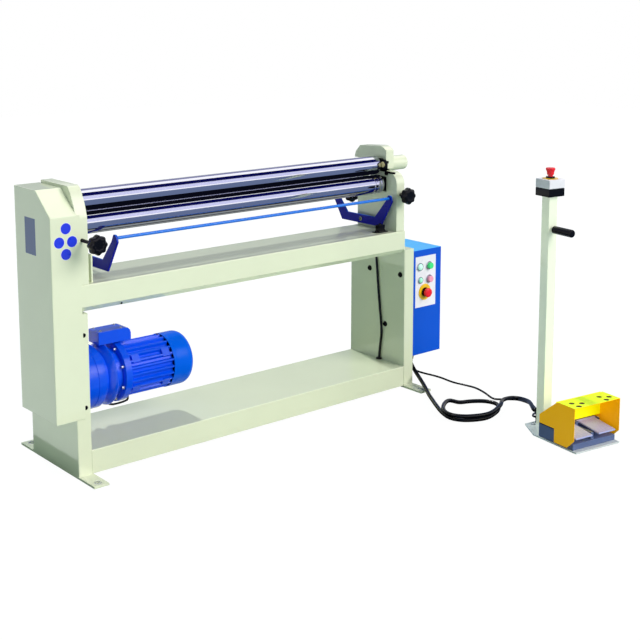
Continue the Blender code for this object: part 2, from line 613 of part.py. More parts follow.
def build_housings(paints, root):
    """Makes both roll housings, the cap of the right one, its pin and the release lever."""
    cream = paints["cream"]
    left = housing("left_housing", HOUSING_INSET, LEFT_HOUSING_TOP, LEFT_SHOULDER, cream, root)
    bore(left, root, "X", HOUSING_INSET - OVERRUN, LEFT_HOUSING_IN + OVERRUN,
         PIVOT_BALL_RADIUS + RUN, TOP_AXIS_Y, TOP_AXIS_Z, ROLL_SIDES)
    weld(left, turned([(LEFT_HOUSING_IN - OVERRUN, TRIP_PIVOT_RADIUS),
                       (TRIP_LEFT_X + TRIP_SHEET, TRIP_PIVOT_RADIUS)],
                      SMALL_SIDES, "X", TRIP_PIVOT_Y, TRIP_PIVOT_Z), root)

    right = housing("right_housing", RIGHT_HOUSING_IN, HOUSING_SEAT_Z, RIGHT_SHOULDER, cream, root)
    weld(right, turned([(TRIP_RIGHT_X - TRIP_SHEET, TRIP_PIVOT_RADIUS),
                        (RIGHT_HOUSING_IN + OVERRUN, TRIP_PIVOT_RADIUS)],
                       SMALL_SIDES, "X", TRIP_PIVOT_Y, TRIP_PIVOT_Z), root)
    lug_low = RIGHT_MIDDLE - CAP_LUG_WIDTH / 2
    lug_high = RIGHT_MIDDLE + CAP_LUG_WIDTH / 2
    for low, high in ((RIGHT_HOUSING_IN, lug_low - RUN), (lug_high + RUN, RIGHT_HOUSING_OUT)):
        weld(right, turned([(low, CAP_LUG_RADIUS), (high, CAP_LUG_RADIUS)], ROUND_SIDES, "X",
                           CAP_PIN_Y, CAP_PIN_Z), root)
        foot_y = CAP_PIN_Y - CAP_LUG_RADIUS
        weld(right, block((low, foot_y, HOUSING_SEAT_Z - OVERRUN), (high, BODY_DEPTH, CAP_PIN_Z)), root)
    bore(right, root, "X", RIGHT_HOUSING_IN - OVERRUN, RIGHT_HOUSING_OUT + OVERRUN,
         CAP_PIN_RADIUS + GAP, CAP_PIN_Y, CAP_PIN_Z, SMALL_SIDES)
    cut(right, block((lug_low - RUN, CAP_PIN_Y - CAP_LUG_RADIUS - OVERRUN,
                      CAP_PIN_Z - CAP_LUG_RADIUS - OVERRUN),
                     (lug_high + RUN, BODY_DEPTH + OVERRUN, HOUSING_SEAT_Z + OVERRUN)), root)
    bore(right, root, "X", RIGHT_HOUSING_IN - OVERRUN, RIGHT_HOUSING_IN + LEVER_PIN_LENGTH + OVERRUN,
         LEVER_PIN_RADIUS + RUN, LEVER_Y, LEVER_Z, SMALL_SIDES)

    roof = CAP_INNER_TOP
    inner = CAP_FRONT + CAP_LEG
    seat = HOUSING_SEAT_Z + CAP_FOOT_RISE
    shoulder = CAP_CROWN / 3
    outline = [(CAP_FRONT, seat), (inner, seat), (inner, roof), (TOP_BLOCK_BACK + CAP_BACK_ROOM, roof),
               (TOP_BLOCK_BACK + CAP_LEG, CAP_UNDERSIDE), (CAP_BACK, CAP_UNDERSIDE),
               (CAP_BACK - shoulder / 2, CAP_TOP - shoulder * 2),
               (CAP_BACK - shoulder * 2, CAP_TOP - shoulder / 2),
               (CAP_FRONT + shoulder * 2, CAP_TOP), (CAP_FRONT + shoulder, CAP_TOP - shoulder / 3),
               (CAP_FRONT, CAP_TOP - shoulder)]
    pin = (RIGHT_MIDDLE, CAP_PIN_Y, CAP_PIN_Z)
    cap = solid("top_roll_cap", prism(outline, RIGHT_HOUSING_IN, RIGHT_HOUSING_OUT), cream, root, pin)
    weld(cap, prism([(CAP_PIN_Y - CAP_LUG_RADIUS, CAP_PIN_Z), (CAP_PIN_Y + CAP_LUG_RADIUS, CAP_PIN_Z),
                     (CAP_PIN_Y + CAP_LUG_RADIUS, CAP_UNDERSIDE + OVERRUN),
                     (CAP_PIN_Y - CAP_LUG_RADIUS, CAP_UNDERSIDE + OVERRUN)], lug_low, lug_high), root)
    weld(cap, turned([(lug_low, CAP_LUG_RADIUS), (lug_high, CAP_LUG_RADIUS)], ROUND_SIDES, "X",
                     CAP_PIN_Y, CAP_PIN_Z), root)
    bore(cap, root, "X", lug_low - OVERRUN, lug_high + OVERRUN, CAP_PIN_RADIUS + RUN,
         CAP_PIN_Y, CAP_PIN_Z, SMALL_SIDES)
    solid("cap_hinge_pin", turned([(RIGHT_HOUSING_IN, CAP_PIN_RADIUS), (RIGHT_HOUSING_OUT, CAP_PIN_RADIUS)],
                                  SMALL_SIDES, "X", CAP_PIN_Y, CAP_PIN_Z), paints["steel"], root, pin)

    high = RIGHT_HOUSING_IN - GAP
    low = high - LEVER_SHEET
    bar_top = LEVER_Z + LEVER_BOSS
    bar_end = LEVER_Y - LEVER_LENGTH
    bar = [(LEVER_Y, bar_top), (bar_end, bar_top), (bar_end, bar_top - LEVER_WIDTH),
           (LEVER_Y - LEVER_BOSS, bar_top - LEVER_WIDTH)]
    bar += [(LEVER_Y + LEVER_BOSS * math.cos(a), LEVER_Z + LEVER_BOSS * math.sin(a))
            for a in (math.radians(t) for t in (200, 240, 280, 320, 0, 40))]
    lever = solid("release_lever", prism(bar, low, high), paints["black_iron"], root,
                  (high, LEVER_Y, LEVER_Z))
    weld(lever, turned([(low + GAP, LEVER_PIN_RADIUS), (high + LEVER_PIN_LENGTH, LEVER_PIN_RADIUS)],
                       SMALL_SIDES, "X", LEVER_Y, LEVER_Z), root)


def roll_profile(start, end, left_end, right_end):
    """Gives the profile of a roll with a journal at each end."""
    return [(left_end, JOURNAL_RADIUS), (start, JOURNAL_RADIUS), (start, ROLL_RADIUS - ROLL_CHAMFER),
            (start + ROLL_CHAMFER, ROLL_RADIUS), (end - ROLL_CHAMFER, ROLL_RADIUS),
            (end, ROLL_RADIUS - ROLL_CHAMFER), (end, JOURNAL_RADIUS), (right_end, JOURNAL_RADIUS)]


def bearing_block(name, x, y, z, half, paint, root):
    """Makes a square block that slides in a housing's window and holds a journal."""
    low = x + (HOUSING_WIDTH - BLOCK_WIDTH) / 2
    piece = solid(name, block((low, y - half, z - half), (low + BLOCK_WIDTH, y + half, z + half)),
                  paint, root, (x + HOUSING_MIDDLE, y, z))
    bore(piece, root, "X", low - OVERRUN, low + BLOCK_WIDTH + OVERRUN, JOURNAL_BORE, y, z)


def build_rolls(paints, root):
    """Makes the three rolls and what holds them."""
    steel = paints["steel"]
    cast = paints["cast"]
    middle = (ROLL_START + ROLL_END) / 2
    far = RIGHT_HOUSING_OUT - (HOUSING_WIDTH - BLOCK_WIDTH) / 2
    near = HOUSING_INSET + (HOUSING_WIDTH - BLOCK_WIDTH) / 2
    tail = RIGHT_HOUSING_OUT + TAIL_LENGTH
    solid("top_roll", turned(roll_profile(ROLL_START, ROLL_END, -TOP_DRIVE_END, tail),
                             ROLL_SIDES, "X", TOP_AXIS_Y, TOP_AXIS_Z), steel, root,
          (middle, TOP_AXIS_Y, TOP_AXIS_Z))
    solid("lower_roll", turned(roll_profile(ROLL_START, ROLL_END, -DRIVE_END, far),
                               ROLL_SIDES, "X", LOWER_AXIS_Y, LOWER_AXIS_Z), steel, root,
          (middle, LOWER_AXIS_Y, LOWER_AXIS_Z))
    solid("rear_roll", turned(roll_profile(ROLL_START, ROLL_END, near, far),
                              ROLL_SIDES, "X", REAR_AXIS_Y, REAR_AXIS_Z), steel, root,
          (middle, REAR_AXIS_Y, REAR_AXIS_Z))
    for side, x in (("left", HOUSING_INSET), ("right", RIGHT_HOUSING_IN)):
        bearing_block(side + "_pinch_block", x, LOWER_AXIS_Y, LOWER_AXIS_Z, BLOCK_HALF, cast, root)
        bearing_block(side + "_rear_block", x, REAR_AXIS_Y, REAR_AXIS_Z, REAR_BLOCK_HALF, cast, root)

    half = PIVOT_BALL_WIDTH / 2
    profile = [(LEFT_MIDDLE - half, JOURNAL_BORE)]
    for k in range(5):
        along = -half + PIVOT_BALL_WIDTH * k / 4
        profile.append((LEFT_MIDDLE + along, math.sqrt(PIVOT_BALL_RADIUS ** 2 - along ** 2)))
    profile.append((LEFT_MIDDLE + half, JOURNAL_BORE))
    solid("left_pivot_bearing", ring_form(profile, ROLL_SIDES, "X", TOP_AXIS_Y, TOP_AXIS_Z), cast, root,
          (LEFT_MIDDLE, TOP_AXIS_Y, TOP_AXIS_Z))

    low = RIGHT_MIDDLE - TOP_BLOCK_WIDTH / 2
    seat = HOUSING_SEAT_Z + GAP
    saddle = solid("top_bearing_block",
                   block((low, TOP_BLOCK_FRONT, seat),
                         (low + TOP_BLOCK_WIDTH, TOP_BLOCK_BACK, seat + TOP_BLOCK_HEIGHT)),
                   paints["black_iron"], root, (RIGHT_MIDDLE, TOP_AXIS_Y, TOP_AXIS_Z))
    bore(saddle, root, "X", low - OVERRUN, low + TOP_BLOCK_WIDTH + OVERRUN, JOURNAL_BORE,
         TOP_AXIS_Y, TOP_AXIS_Z)
    sleeve = RIGHT_HOUSING_OUT + GAP
    solid("tail_sleeve", ring_form([(sleeve, JOURNAL_BORE), (sleeve, SLEEVE_RADIUS), (tail, SLEEVE_RADIUS),
                                    (tail, JOURNAL_BORE)], ROUND_SIDES, "X", TOP_AXIS_Y, TOP_AXIS_Z),
          paints["cream"], root, (RIGHT_MIDDLE, TOP_AXIS_Y, TOP_AXIS_Z))


def tooth_outline(teeth, outer, root_radius, tip_share, root_share, u, v, turn):
    """Gives a toothed outline: four points for each tooth."""
    step = 2 * math.pi / teeth
    points = []
    for k in range(teeth):
        centre = turn + k * step
        for radius, share in ((root_radius, -root_share), (outer, -tip_share),
                              (outer, tip_share), (root_radius, root_share)):
            angle = centre + share * step / 2
            points.append((u + radius * math.cos(angle), v + radius * math.sin(angle)))
    return points


def toothed(name, x, width, outline, hole, u, v, paint, root):
    """Makes a gear or a sprocket with its bore."""
    wheel = solid(name, prism(outline, x - width / 2, x + width / 2), paint, root, (x, u, v))
    if hole:
        bore(wheel, root, "X", x - width, x + width, hole, u, v)
    return wheel


def chain_path(radius_one, radius_two, one, two, steps):
    """Gives a loop round two circles, as equally many points on each arc."""
    centre_one, centre_two = Vector(one), Vector(two)
    line = centre_two - centre_one
    lean = math.atan2(line.y, line.x)
    spread = math.acos((radius_one - radius_two) / line.length)
    points = []
    for k in range(steps + 1):
        angle = lean + spread + (2 * math.pi - 2 * spread) * k / steps
        points.append((one[0] + radius_one * math.cos(angle), one[1] + radius_one * math.sin(angle)))
    for k in range(steps + 1):
        angle = lean - spread + 2 * spread * k / steps
        points.append((two[0] + radius_two * math.cos(angle), two[1] + radius_two * math.sin(angle)))
    return points


def build_drive(paints, root):
    """Makes the gear cover, gears, sprockets, chain and the gearmotor."""
    steel = paints["steel"]
    front = -COVER_FRONT_GAP
    shape = [(front, COVER_BOTTOM), (front, COVER_SLANT_Z), (COVER_SLANT_Y, COVER_TOP),
             (COVER_BACK, COVER_TOP), (COVER_BACK, COVER_BOTTOM)]
    inner = folded(shape, -COVER_SHEET)[len(shape):]
    inner = [(y, z + (COVER_SHEET if z < COVER_BOTTOM + COVER_SHEET else 0.0)) for y, z in inner]
    cover = solid("gear_cover", prism(shape, -COVER_OUT, -GAP), paints["cream"], root)
    hood = [(COVER_SLANT_Y, COVER_TOP), (COVER_BACK, COVER_TOP), (COVER_BACK, LEG_WEB_TOP + COVER_SHEET),
            (front, LEG_WEB_TOP + COVER_SHEET), (front, COVER_SLANT_Z)]
    weld(cover, prism(hood, -COVER_SHEET, HOUSING_INSET - GAP), root)
    weld(cover, block((-COVER_SHEET, front, COVER_BOTTOM),
                      (COVER_FLANGE_RIGHT, front + COVER_SHEET, COVER_SLANT_Z)), root)
    cut(cover, prism(inner, COVER_SHEET - COVER_OUT, HOUSING_INSET + OVERRUN), root)

    lean = PINCH_LEAN
    half_step = math.pi / GEAR_TEETH
    lower = tooth_outline(GEAR_TEETH, GEAR_OUTER, GEAR_ROOT, TOOTH_TIP_SHARE, TOOTH_ROOT_SHARE,
                          LOWER_AXIS_Y, LOWER_AXIS_Z, lean)
    upper = tooth_outline(GEAR_TEETH, GEAR_OUTER, GEAR_ROOT, TOOTH_TIP_SHARE, TOOTH_ROOT_SHARE,
                          TOP_AXIS_Y, TOP_AXIS_Z, lean + math.pi + half_step)
    hole = JOURNAL_RADIUS + GAP
    toothed("lower_gear", GEAR_CENTRE_X, GEAR_WIDTH, lower, hole, LOWER_AXIS_Y, LOWER_AXIS_Z, steel, root)
    toothed("top_gear", GEAR_CENTRE_X, GEAR_WIDTH, upper, hole, TOP_AXIS_Y, TOP_AXIS_Z, steel, root)

    radii = {teeth: CHAIN_PITCH / (2 * math.sin(math.pi / teeth))
             for teeth in (DRIVEN_TEETH, MOTOR_TEETH)}
    driven = tooth_outline(DRIVEN_TEETH, radii[DRIVEN_TEETH] + SPROCKET_TIP,
                           radii[DRIVEN_TEETH] - SPROCKET_TIP, TOOTH_TIP_SHARE, TOOTH_ROOT_SHARE,
                           LOWER_AXIS_Y, LOWER_AXIS_Z, 0.0)
    toothed("driven_sprocket", SPROCKET_X, SPROCKET_WIDTH, driven, hole,
            LOWER_AXIS_Y, LOWER_AXIS_Z, paints["cast"], root)
    small = tooth_outline(MOTOR_TEETH, radii[MOTOR_TEETH] + SPROCKET_TIP,
                          radii[MOTOR_TEETH] - SPROCKET_TIP, TOOTH_TIP_SHARE, TOOTH_ROOT_SHARE,
                          MOTOR_Y, MOTOR_Z, 0.0)
    pinion = toothed("motor_sprocket", SPROCKET_X, SPROCKET_WIDTH, small, 0.0,
                     MOTOR_Y, MOTOR_Z, paints["cast"], root)
    weld(pinion, turned([(SPROCKET_X - SPROCKET_WIDTH, SHAFT_RADIUS), (LEG_SHEET, SHAFT_RADIUS)],
                        ROUND_SIDES, "X", MOTOR_Y, MOTOR_Z), root)
    grow = SPROCKET_TIP + CHAIN_CLEAR
    slack = PINCH_TRAVEL_DOWN
    loops = [chain_path(radii[DRIVEN_TEETH] + grow + slack + extra, radii[MOTOR_TEETH] + grow + extra,
                        (LOWER_AXIS_Y, LOWER_AXIS_Z), (MOTOR_Y, MOTOR_Z), CHAIN_STEPS)
             for extra in (0.0, CHAIN_HEIGHT)]
    form = bmesh.new()
    low = SPROCKET_X - CHAIN_WIDTH / 2
    high = SPROCKET_X + CHAIN_WIDTH / 2
    rows = [[form.verts.new((x, y, z)) for y, z in loop]
            for loop, x in ((loops[0], low), (loops[1], low), (loops[1], high), (loops[0], high))]
    count = len(rows[0])
    for near, far in zip(rows, rows[1:] + rows[:1]):
        for k in range(count):
            nxt = (k + 1) % count
            form.faces.new((near[k], near[nxt], far[nxt], far[k]))
    solid("drive_chain", form, paints["cast"], root)

    build_motor(paints["motor"], paints["rubber"], root)


def build_motor(paint, rubber, root):
    """Makes the gearbox on the left leg, the finned motor, its fan, cowl, terminal box and lead."""
    face = LEG_SHEET + GAP
    neck = GEARBOX_NECK_RADIUS
    edge = (FLANGE_RADIUS - neck) / 3
    drum = [(face, neck), (face + edge, GEARBOX_RADIUS - edge), (face + 2 * edge, GEARBOX_RADIUS),
            (GEARBOX_LENGTH - edge, GEARBOX_RADIUS), (GEARBOX_LENGTH, GEARBOX_RADIUS - edge),
            (GEARBOX_LENGTH + edge, neck), (FLANGE_START - GAP, neck)]
    solid("gearbox", turned(drum, ROLL_SIDES, "X", MOTOR_Y, MOTOR_Z), paint, root)

    fins = []
    step = 2 * math.pi / FIN_COUNT
    for k in range(FIN_COUNT):
        for radius, share in ((FIN_ROOT_RADIUS, -FIN_SHARE - (1 - FIN_SHARE) / 3),
                              (FIN_TIP_RADIUS, -FIN_SHARE / 2), (FIN_TIP_RADIUS, FIN_SHARE / 2),
                              (FIN_ROOT_RADIUS, FIN_SHARE + (1 - FIN_SHARE) / 3)):
            angle = (k + share / 2) * step
            fins.append((MOTOR_Y + radius * math.cos(angle), MOTOR_Z + radius * math.sin(angle)))
    stator = solid("motor_body", prism(fins, FLANGE_START + FLANGE_LENGTH / 2, FRAME_END), paint, root)
    weld(stator, turned([(FLANGE_START, FLANGE_RADIUS - edge), (FLANGE_START + edge / 2, FLANGE_RADIUS),
                         (FLANGE_START + FLANGE_LENGTH, FLANGE_RADIUS),
                         (FLANGE_START + FLANGE_LENGTH + edge, FIN_ROOT_RADIUS)],
                        ROLL_SIDES, "X", MOTOR_Y, MOTOR_Z), root)
    shaft_end = COWL_END - 4 * FAN_WIDTH / 3
    weld(stator, turned([(FRAME_END - OVERRUN, SHAFT_RADIUS), (shaft_end, SHAFT_RADIUS)],
                        SMALL_SIDES, "X", MOTOR_Y, MOTOR_Z), root)

    fan_start = COWL_START + FAN_WIDTH / 2
    fan_end = fan_start + FAN_WIDTH
    hole = (SHAFT_RADIUS + RUN) / math.cos(math.pi / SMALL_SIDES)
    hub = [(fan_start, hole), (fan_start, FAN_HUB_RADIUS), (fan_end, FAN_HUB_RADIUS), (fan_end, hole)]
    fan = solid("motor_fan", ring_form(hub, SMALL_SIDES, "X", MOTOR_Y, MOTOR_Z),
                bpy.data.materials["black_plastic"], root, (fan_start, MOTOR_Y, MOTOR_Z))
    for k in range(FAN_BLADES):
        angle = 2 * math.pi * k / FAN_BLADES
        along = Vector((math.cos(angle), math.sin(angle)))
        across = Vector((-along.y, along.x)) * COWL_SHEET
        centre = Vector((MOTOR_Y, MOTOR_Z))
        near = centre + along * (FAN_HUB_RADIUS - COWL_SHEET)
        far = centre + along * FAN_RADIUS
        blade = [tuple(near - across), tuple(far - across), tuple(far + across), tuple(near + across)]
        weld(fan, prism(blade, fan_start + COWL_SHEET, fan_end - COWL_SHEET), root)

    dome = COWL_RADIUS / 3
    bent = math.sqrt(0.5)
    cowl = [(COWL_START, COWL_RADIUS - COWL_SHEET), (COWL_START, COWL_RADIUS), (COWL_END - dome, COWL_RADIUS),
            (COWL_END - dome * (1 - bent), COWL_RADIUS - dome * (1 - bent)), (COWL_END, COWL_RADIUS - dome),
            (COWL_END, FAN_HUB_RADIUS), (COWL_END - COWL_SHEET, FAN_HUB_RADIUS),
            (COWL_END - COWL_SHEET, COWL_RADIUS - dome),
            (COWL_END - dome * (1 - bent) - COWL_SHEET, COWL_RADIUS - dome * (1 - bent) - COWL_SHEET),
            (COWL_END - dome, COWL_RADIUS - COWL_SHEET)]
    solid("fan_cowl", ring_form(cowl, ROLL_SIDES, "X", MOTOR_Y, MOTOR_Z), paint, root)

    base = MOTOR_Z + GEARBOX_RADIUS + GAP
    corner = TERMINAL_ROUND
    side = [(TERMINAL_START, base), (TERMINAL_END, base)]
    side += [(TERMINAL_END - corner + corner * math.cos(a), TERMINAL_TOP - corner + corner * math.sin(a))
             for a in (math.radians(t) for t in (0, 30, 60, 90))]
    side += [(TERMINAL_START, TERMINAL_TOP)]
    terminal = solid("terminal_box", prism(side, MOTOR_Y - TERMINAL_HALF, MOTOR_Y + TERMINAL_HALF, "Y"),
                     paint, root)
    weld(terminal, block((FLANGE_START + FLANGE_LENGTH + OVERRUN, MOTOR_Y - TERMINAL_HALF / 2,
                          MOTOR_Z + FIN_TIP_RADIUS + GAP),
                         (TERMINAL_END - corner, MOTOR_Y + TERMINAL_HALF / 2, base + OVERRUN)), root)

    thick = 2 * LEAD_RADIUS
    top = MOTOR_Z - GEARBOX_NECK_RADIUS - GAP
    low = MOTOR_Z - FLANGE_RADIUS - thick
    end = MOTOR_Z - FIN_TIP_RADIUS - GAP
    start = (GEARBOX_LENGTH + FLANGE_START) / 2
    bend = FLANGE_START + FLANGE_LENGTH
    stop = bend + 5 * thick
    route = [(start, top), (start, top - thick / 2), (start, top - thick), (start + thick, low - thick / 2),
             (bend, low - thick), (stop - thick / 2, low - thick / 2), (stop, end - thick * 3 / 2),
             (stop, end - thick), (stop, end - thick / 2), (stop, end)]
    tube("motor_lead", [(x, MOTOR_Y, z) for x, z in route], LEAD_RADIUS, 2, rubber, root)


def knob(name, x, z, face, reach, paint, root):
    """Makes a lobed knob with its adjusting screw; reach is signed, outwards from the face."""
    out = 1 if reach > 0 else -1
    middle = face + reach
    inner = middle - out * KNOB_WIDTH / 2
    outer = middle + out * KNOB_WIDTH / 2
    hub = inner - out * KNOB_HUB_LENGTH
    tip = face - out * SCREW_DEPTH
    edge = KNOB_WIDTH / 5
    rows = [(tip, SCREW_RADIUS, 0.0), (hub, SCREW_RADIUS, 0.0), (hub, KNOB_HUB_RADIUS - edge / 2, 0.0),
            (inner, KNOB_HUB_RADIUS, 0.0), (inner + out * edge / 2, KNOB_RADIUS - edge / 2, KNOB_LOBE_SHARE),
            (inner + out * edge, KNOB_RADIUS, KNOB_LOBE_SHARE),
            (outer - out * edge, KNOB_RADIUS, KNOB_LOBE_SHARE),
            (outer - out * edge / 3, KNOB_RADIUS - edge / 2, KNOB_LOBE_SHARE),
            (outer, KNOB_RADIUS - 2 * edge, KNOB_LOBE_SHARE / 2)]
    rings = []
    for along, radius, share in rows:
        ring = []
        for k in range(KNOB_SIDES):
            angle = 2 * math.pi * k / KNOB_SIDES
            here = radius * (1 - share * (1 - math.cos(KNOB_LOBES * angle)) / 2)
            ring.append((x + here * math.cos(angle), along, z + here * math.sin(angle)))
        rings.append(ring)
    return solid(name, loft(rings), paint, root, (x, middle, z))


def build_knobs(paints, root):
    """Makes the four adjusting knobs with their screws."""
    black = paints["black"]
    back = BODY_DEPTH
    knob("left_front_knob", LEFT_MIDDLE, FRONT_SCREW_Z, 0.0, -FRONT_REACH_LEFT, black, root)
    knob("right_front_knob", RIGHT_MIDDLE, FRONT_SCREW_Z, 0.0, -FRONT_REACH_RIGHT, black, root)
    knob("left_rear_knob", LEFT_MIDDLE, REAR_SCREW_Z, back, REAR_REACH, black, root)
    knob("right_rear_knob", RIGHT_MIDDLE, REAR_SCREW_Z, back, REAR_REACH, black, root)


def trip_outline():
    """Gives the side outline of a trip arm: a flat bar bent up at front and back."""
    mirror = 2 * TRIP_PIVOT_Y
    front = TRIP_FRONT_Y
    wide = TRIP_FRONT_WIDTH
    half = [(TRIP_HEEL_FRONT, TRIP_LINK_BOTTOM), (front, TRIP_SHOULDER),
            (front + wide / 8, TRIP_TOP - wide / 5),
            (front + wide / 3, TRIP_TOP), (front + wide * 2 / 3, TRIP_TOP),
            (front + wide, TRIP_SHOULDER), (TRIP_INNER_FRONT, TRIP_LINK_TOP)]
    return half + [(mirror - y, z) for y, z in half[::-1]]


def build_trip_frame(paints, root):
    """Makes the safety trip frame, two bent arms and the bars between them, and its switch."""
    blue = paints["trip"]
    pivot_y, pivot_z = TRIP_PIVOT_Y, TRIP_PIVOT_Z
    half = TRIP_SHEET / 2
    for name, x in (("left_trip_arm", TRIP_LEFT_X), ("right_trip_arm", TRIP_RIGHT_X)):
        arm = solid(name, prism(trip_outline(), x - half, x + half), blue, root, (x, pivot_y, pivot_z))
        bore(arm, root, "X", x - TRIP_SHEET, x + TRIP_SHEET, TRIP_PIVOT_RADIUS + RUN, pivot_y, pivot_z,
             SMALL_SIDES)
    rod_y = TRIP_FRONT_Y + TRIP_FRONT_WIDTH / 2
    rod_z = (TRIP_TOP + TRIP_SHOULDER) / 2
    for name, y in (("front_trip_rod", rod_y), ("rear_trip_rod", 2 * TRIP_PIVOT_Y - rod_y)):
        ends = [(TRIP_LEFT_X + half + GAP, TRIP_ROD_RADIUS), (TRIP_RIGHT_X - half - GAP, TRIP_ROD_RADIUS)]
        solid(name, turned(ends, SMALL_SIDES, "X", y, rod_z), blue, root,
              ((TRIP_LEFT_X + TRIP_RIGHT_X) / 2, pivot_y, pivot_z))

    right = RIGHT_HOUSING_IN - SWITCH_INSET
    foot = BEAM_TOP + GAP
    switch = solid("trip_switch", block((right - SWITCH_WIDTH, SWITCH_Y, foot),
                                        (right, SWITCH_Y + SWITCH_DEPTH, foot + SWITCH_HEIGHT)),
                   paints["black"], root)
    weld(switch, turned([(right - SWITCH_WIDTH * 2 / 3, SWITCH_ROLLER_RADIUS),
                         (right - SWITCH_WIDTH / 3, SWITCH_ROLLER_RADIUS)], SMALL_SIDES, "X",
                        SWITCH_Y + SWITCH_DEPTH / 2, foot + SWITCH_HEIGHT), root)


def push_button(name, x, z, radius, length, paint, root):
    """Makes a push button whose stem passes through the door."""
    front = -length - BUTTON_TRAVEL - RUN
    profile = [(front, radius - BUTTON_ROUND), (front + BUTTON_ROUND, radius), (-BUTTON_TRAVEL - RUN, radius),
               (-BUTTON_TRAVEL - RUN, BUTTON_STEM_RADIUS), (DOOR_SHEET, BUTTON_STEM_RADIUS)]
    return solid(name, turned(profile, ROUND_SIDES, "Y", x, z), paint, root, (x, front, z))


def build_box(paints, root):
    """Makes the electric box, its door, buttons and cable glands."""
    right = BOX_X + BOX_WIDTH
    case_front = DOOR_SHEET + GAP
    case = solid("control_box", block((BOX_X, case_front, BOX_BOTTOM), (right, BOX_DEPTH, BOX_TOP)),
                 paints["box"], root)
    cut(case, block((BOX_X + BOX_SHEET, case_front - OVERRUN, BOX_BOTTOM + BOX_SHEET),
                    (right - BOX_SHEET, BOX_DEPTH - BOX_SHEET, BOX_TOP - BOX_SHEET)), root)
    hinge = (right, 0.0, (BOX_BOTTOM + BOX_TOP) / 2)
    door = solid("box_door", block((BOX_X + GAP, 0.0, BOX_BOTTOM), (right, DOOR_SHEET, BOX_TOP)),
                 paints["box"], root, hinge)
    column = BOX_X + BUTTON_X
    stop_x = BOX_X + BOX_STOP_X
    for x, z in ((column, START_Z), (column, RESET_Z), (stop_x, BOX_STOP_Z)):
        bore(door, root, "Y", -OVERRUN, DOOR_SHEET + OVERRUN, BUTTON_STEM_RADIUS + RUN, x, z)
    push_button("start_button", column, START_Z, BUTTON_RADIUS, BUTTON_LENGTH, paints["green"], root)
    push_button("reset_button", column, RESET_Z, BUTTON_RADIUS, BUTTON_LENGTH, paints["pink"], root)
    collar = -STOP_TRAVEL - RUN
    neck = collar - STOP_COLLAR
    front = neck - STOP_HEAD_LENGTH
    profile = [(front + STOP_HEAD_LENGTH * along, STOP_HEAD_RADIUS * out) for along, out in STOP_HEAD_SHARES]
    profile += [(neck, BUTTON_STEM_RADIUS), (DOOR_SHEET, BUTTON_STEM_RADIUS)]
    solid("box_stop_head", turned(profile, ROUND_SIDES, "Y", stop_x, BOX_STOP_Z), paints["red"], root,
          (stop_x, front, BOX_STOP_Z))

    low_x, high_x = BOX_X + BOX_SHEET, right - BOX_SHEET
    plate = solid("box_gland_plate",
                  block((low_x, case_front + BOX_SHEET, BOX_BOTTOM - GLAND_PLATE - GAP),
                        (high_x, BOX_DEPTH - BOX_SHEET, BOX_BOTTOM - GAP)), paints["black"], root)
    top = BOX_BOTTOM - GLAND_PLATE
    for (x, y), radius in ((PEDAL_EXIT, GLAND_RADIUS), (STOP_EXIT, THIN_GLAND_RADIUS)):
        weld(plate, turned([(top, radius), (top - GLAND_LENGTH / 2, radius),
                            (top - GLAND_LENGTH, radius * GLAND_TIP_SHARE)], SMALL_SIDES, "Z", x, y),
             root)


def build_stand(paints, root):
    """Makes the pedal stand in its own turned frame, and gives that frame."""
    stand = bpy.data.objects.new("stand_frame", None)
    bpy.context.scene.collection.objects.link(stand)
    stand.parent = root
    stand.location = (STAND_X, STAND_Y, 0.0)
    stand.rotation_euler = (0.0, 0.0, STAND_TURN)
    tail = PLATE_DEPTH + TAIL_DEPTH
    outline = [(0.0, 0.0), (PLATE_WIDTH, 0.0), (PLATE_WIDTH, PLATE_DEPTH),
               (PLATE_WIDTH - TAIL_INSET, tail), (TAIL_INSET, tail), (0.0, PLATE_DEPTH)]
    solid("stand_plate", prism(outline, 0.0, PLATE_SHEET, "Z"), paints["pale"], stand)

    middle = PLATE_WIDTH / 2
    half = POST_WIDTH / 2
    foot = PLATE_SHEET + GAP
    post = solid("stand_post", block((middle - half, POST_Y - half, foot),
                                     (middle + half, POST_Y + half, POST_TOP)), paints["cream"], stand)
    wall = half - POST_SHEET
    cut(post, block((middle - wall, POST_Y - wall, foot - OVERRUN),
                    (middle + wall, POST_Y + wall, POST_TOP + OVERRUN)), stand)
    face = POST_Y + half + GAP
    gland = solid("post_gland_plate",
                  block((middle - half, face, foot),
                        (middle + half, face + GLAND_PLATE, POST_GLAND_Z + half)), paints["grey"], stand)
    for x, z, radius in ((middle, POST_GLAND_Z, GLAND_RADIUS),
                         (middle - GLAND_RADIUS / 2, POST_THIN_GLAND_Z, THIN_GLAND_RADIUS)):
        tip = (face + GLAND_LENGTH / 2, radius * GLAND_TIP_SHARE)
        weld(gland, turned([(face + GLAND_PLATE / 2, radius), tip], SMALL_SIDES, "Y", x, z), stand)

    neck = POST_Y - half - GAP
    start = neck - GRIP_NECK_LENGTH
    end = neck - GRIP_LENGTH
    blunt = GRIP_RADIUS * GRIP_END_SHARE
    grip = [(neck, GRIP_NECK_RADIUS), (start, GRIP_NECK_RADIUS), (start, blunt),
            (start - GRIP_NECK_LENGTH / 2, GRIP_RADIUS), (end + GRIP_NECK_LENGTH / 2, GRIP_RADIUS),
            (end, blunt)]
    solid("stand_grip", turned(grip, ROUND_SIDES, "Y", middle, GRIP_Z), paints["black"], stand)

    build_stop_box(paints, stand, middle)
    build_pedals(paints, stand, middle)
    return stand


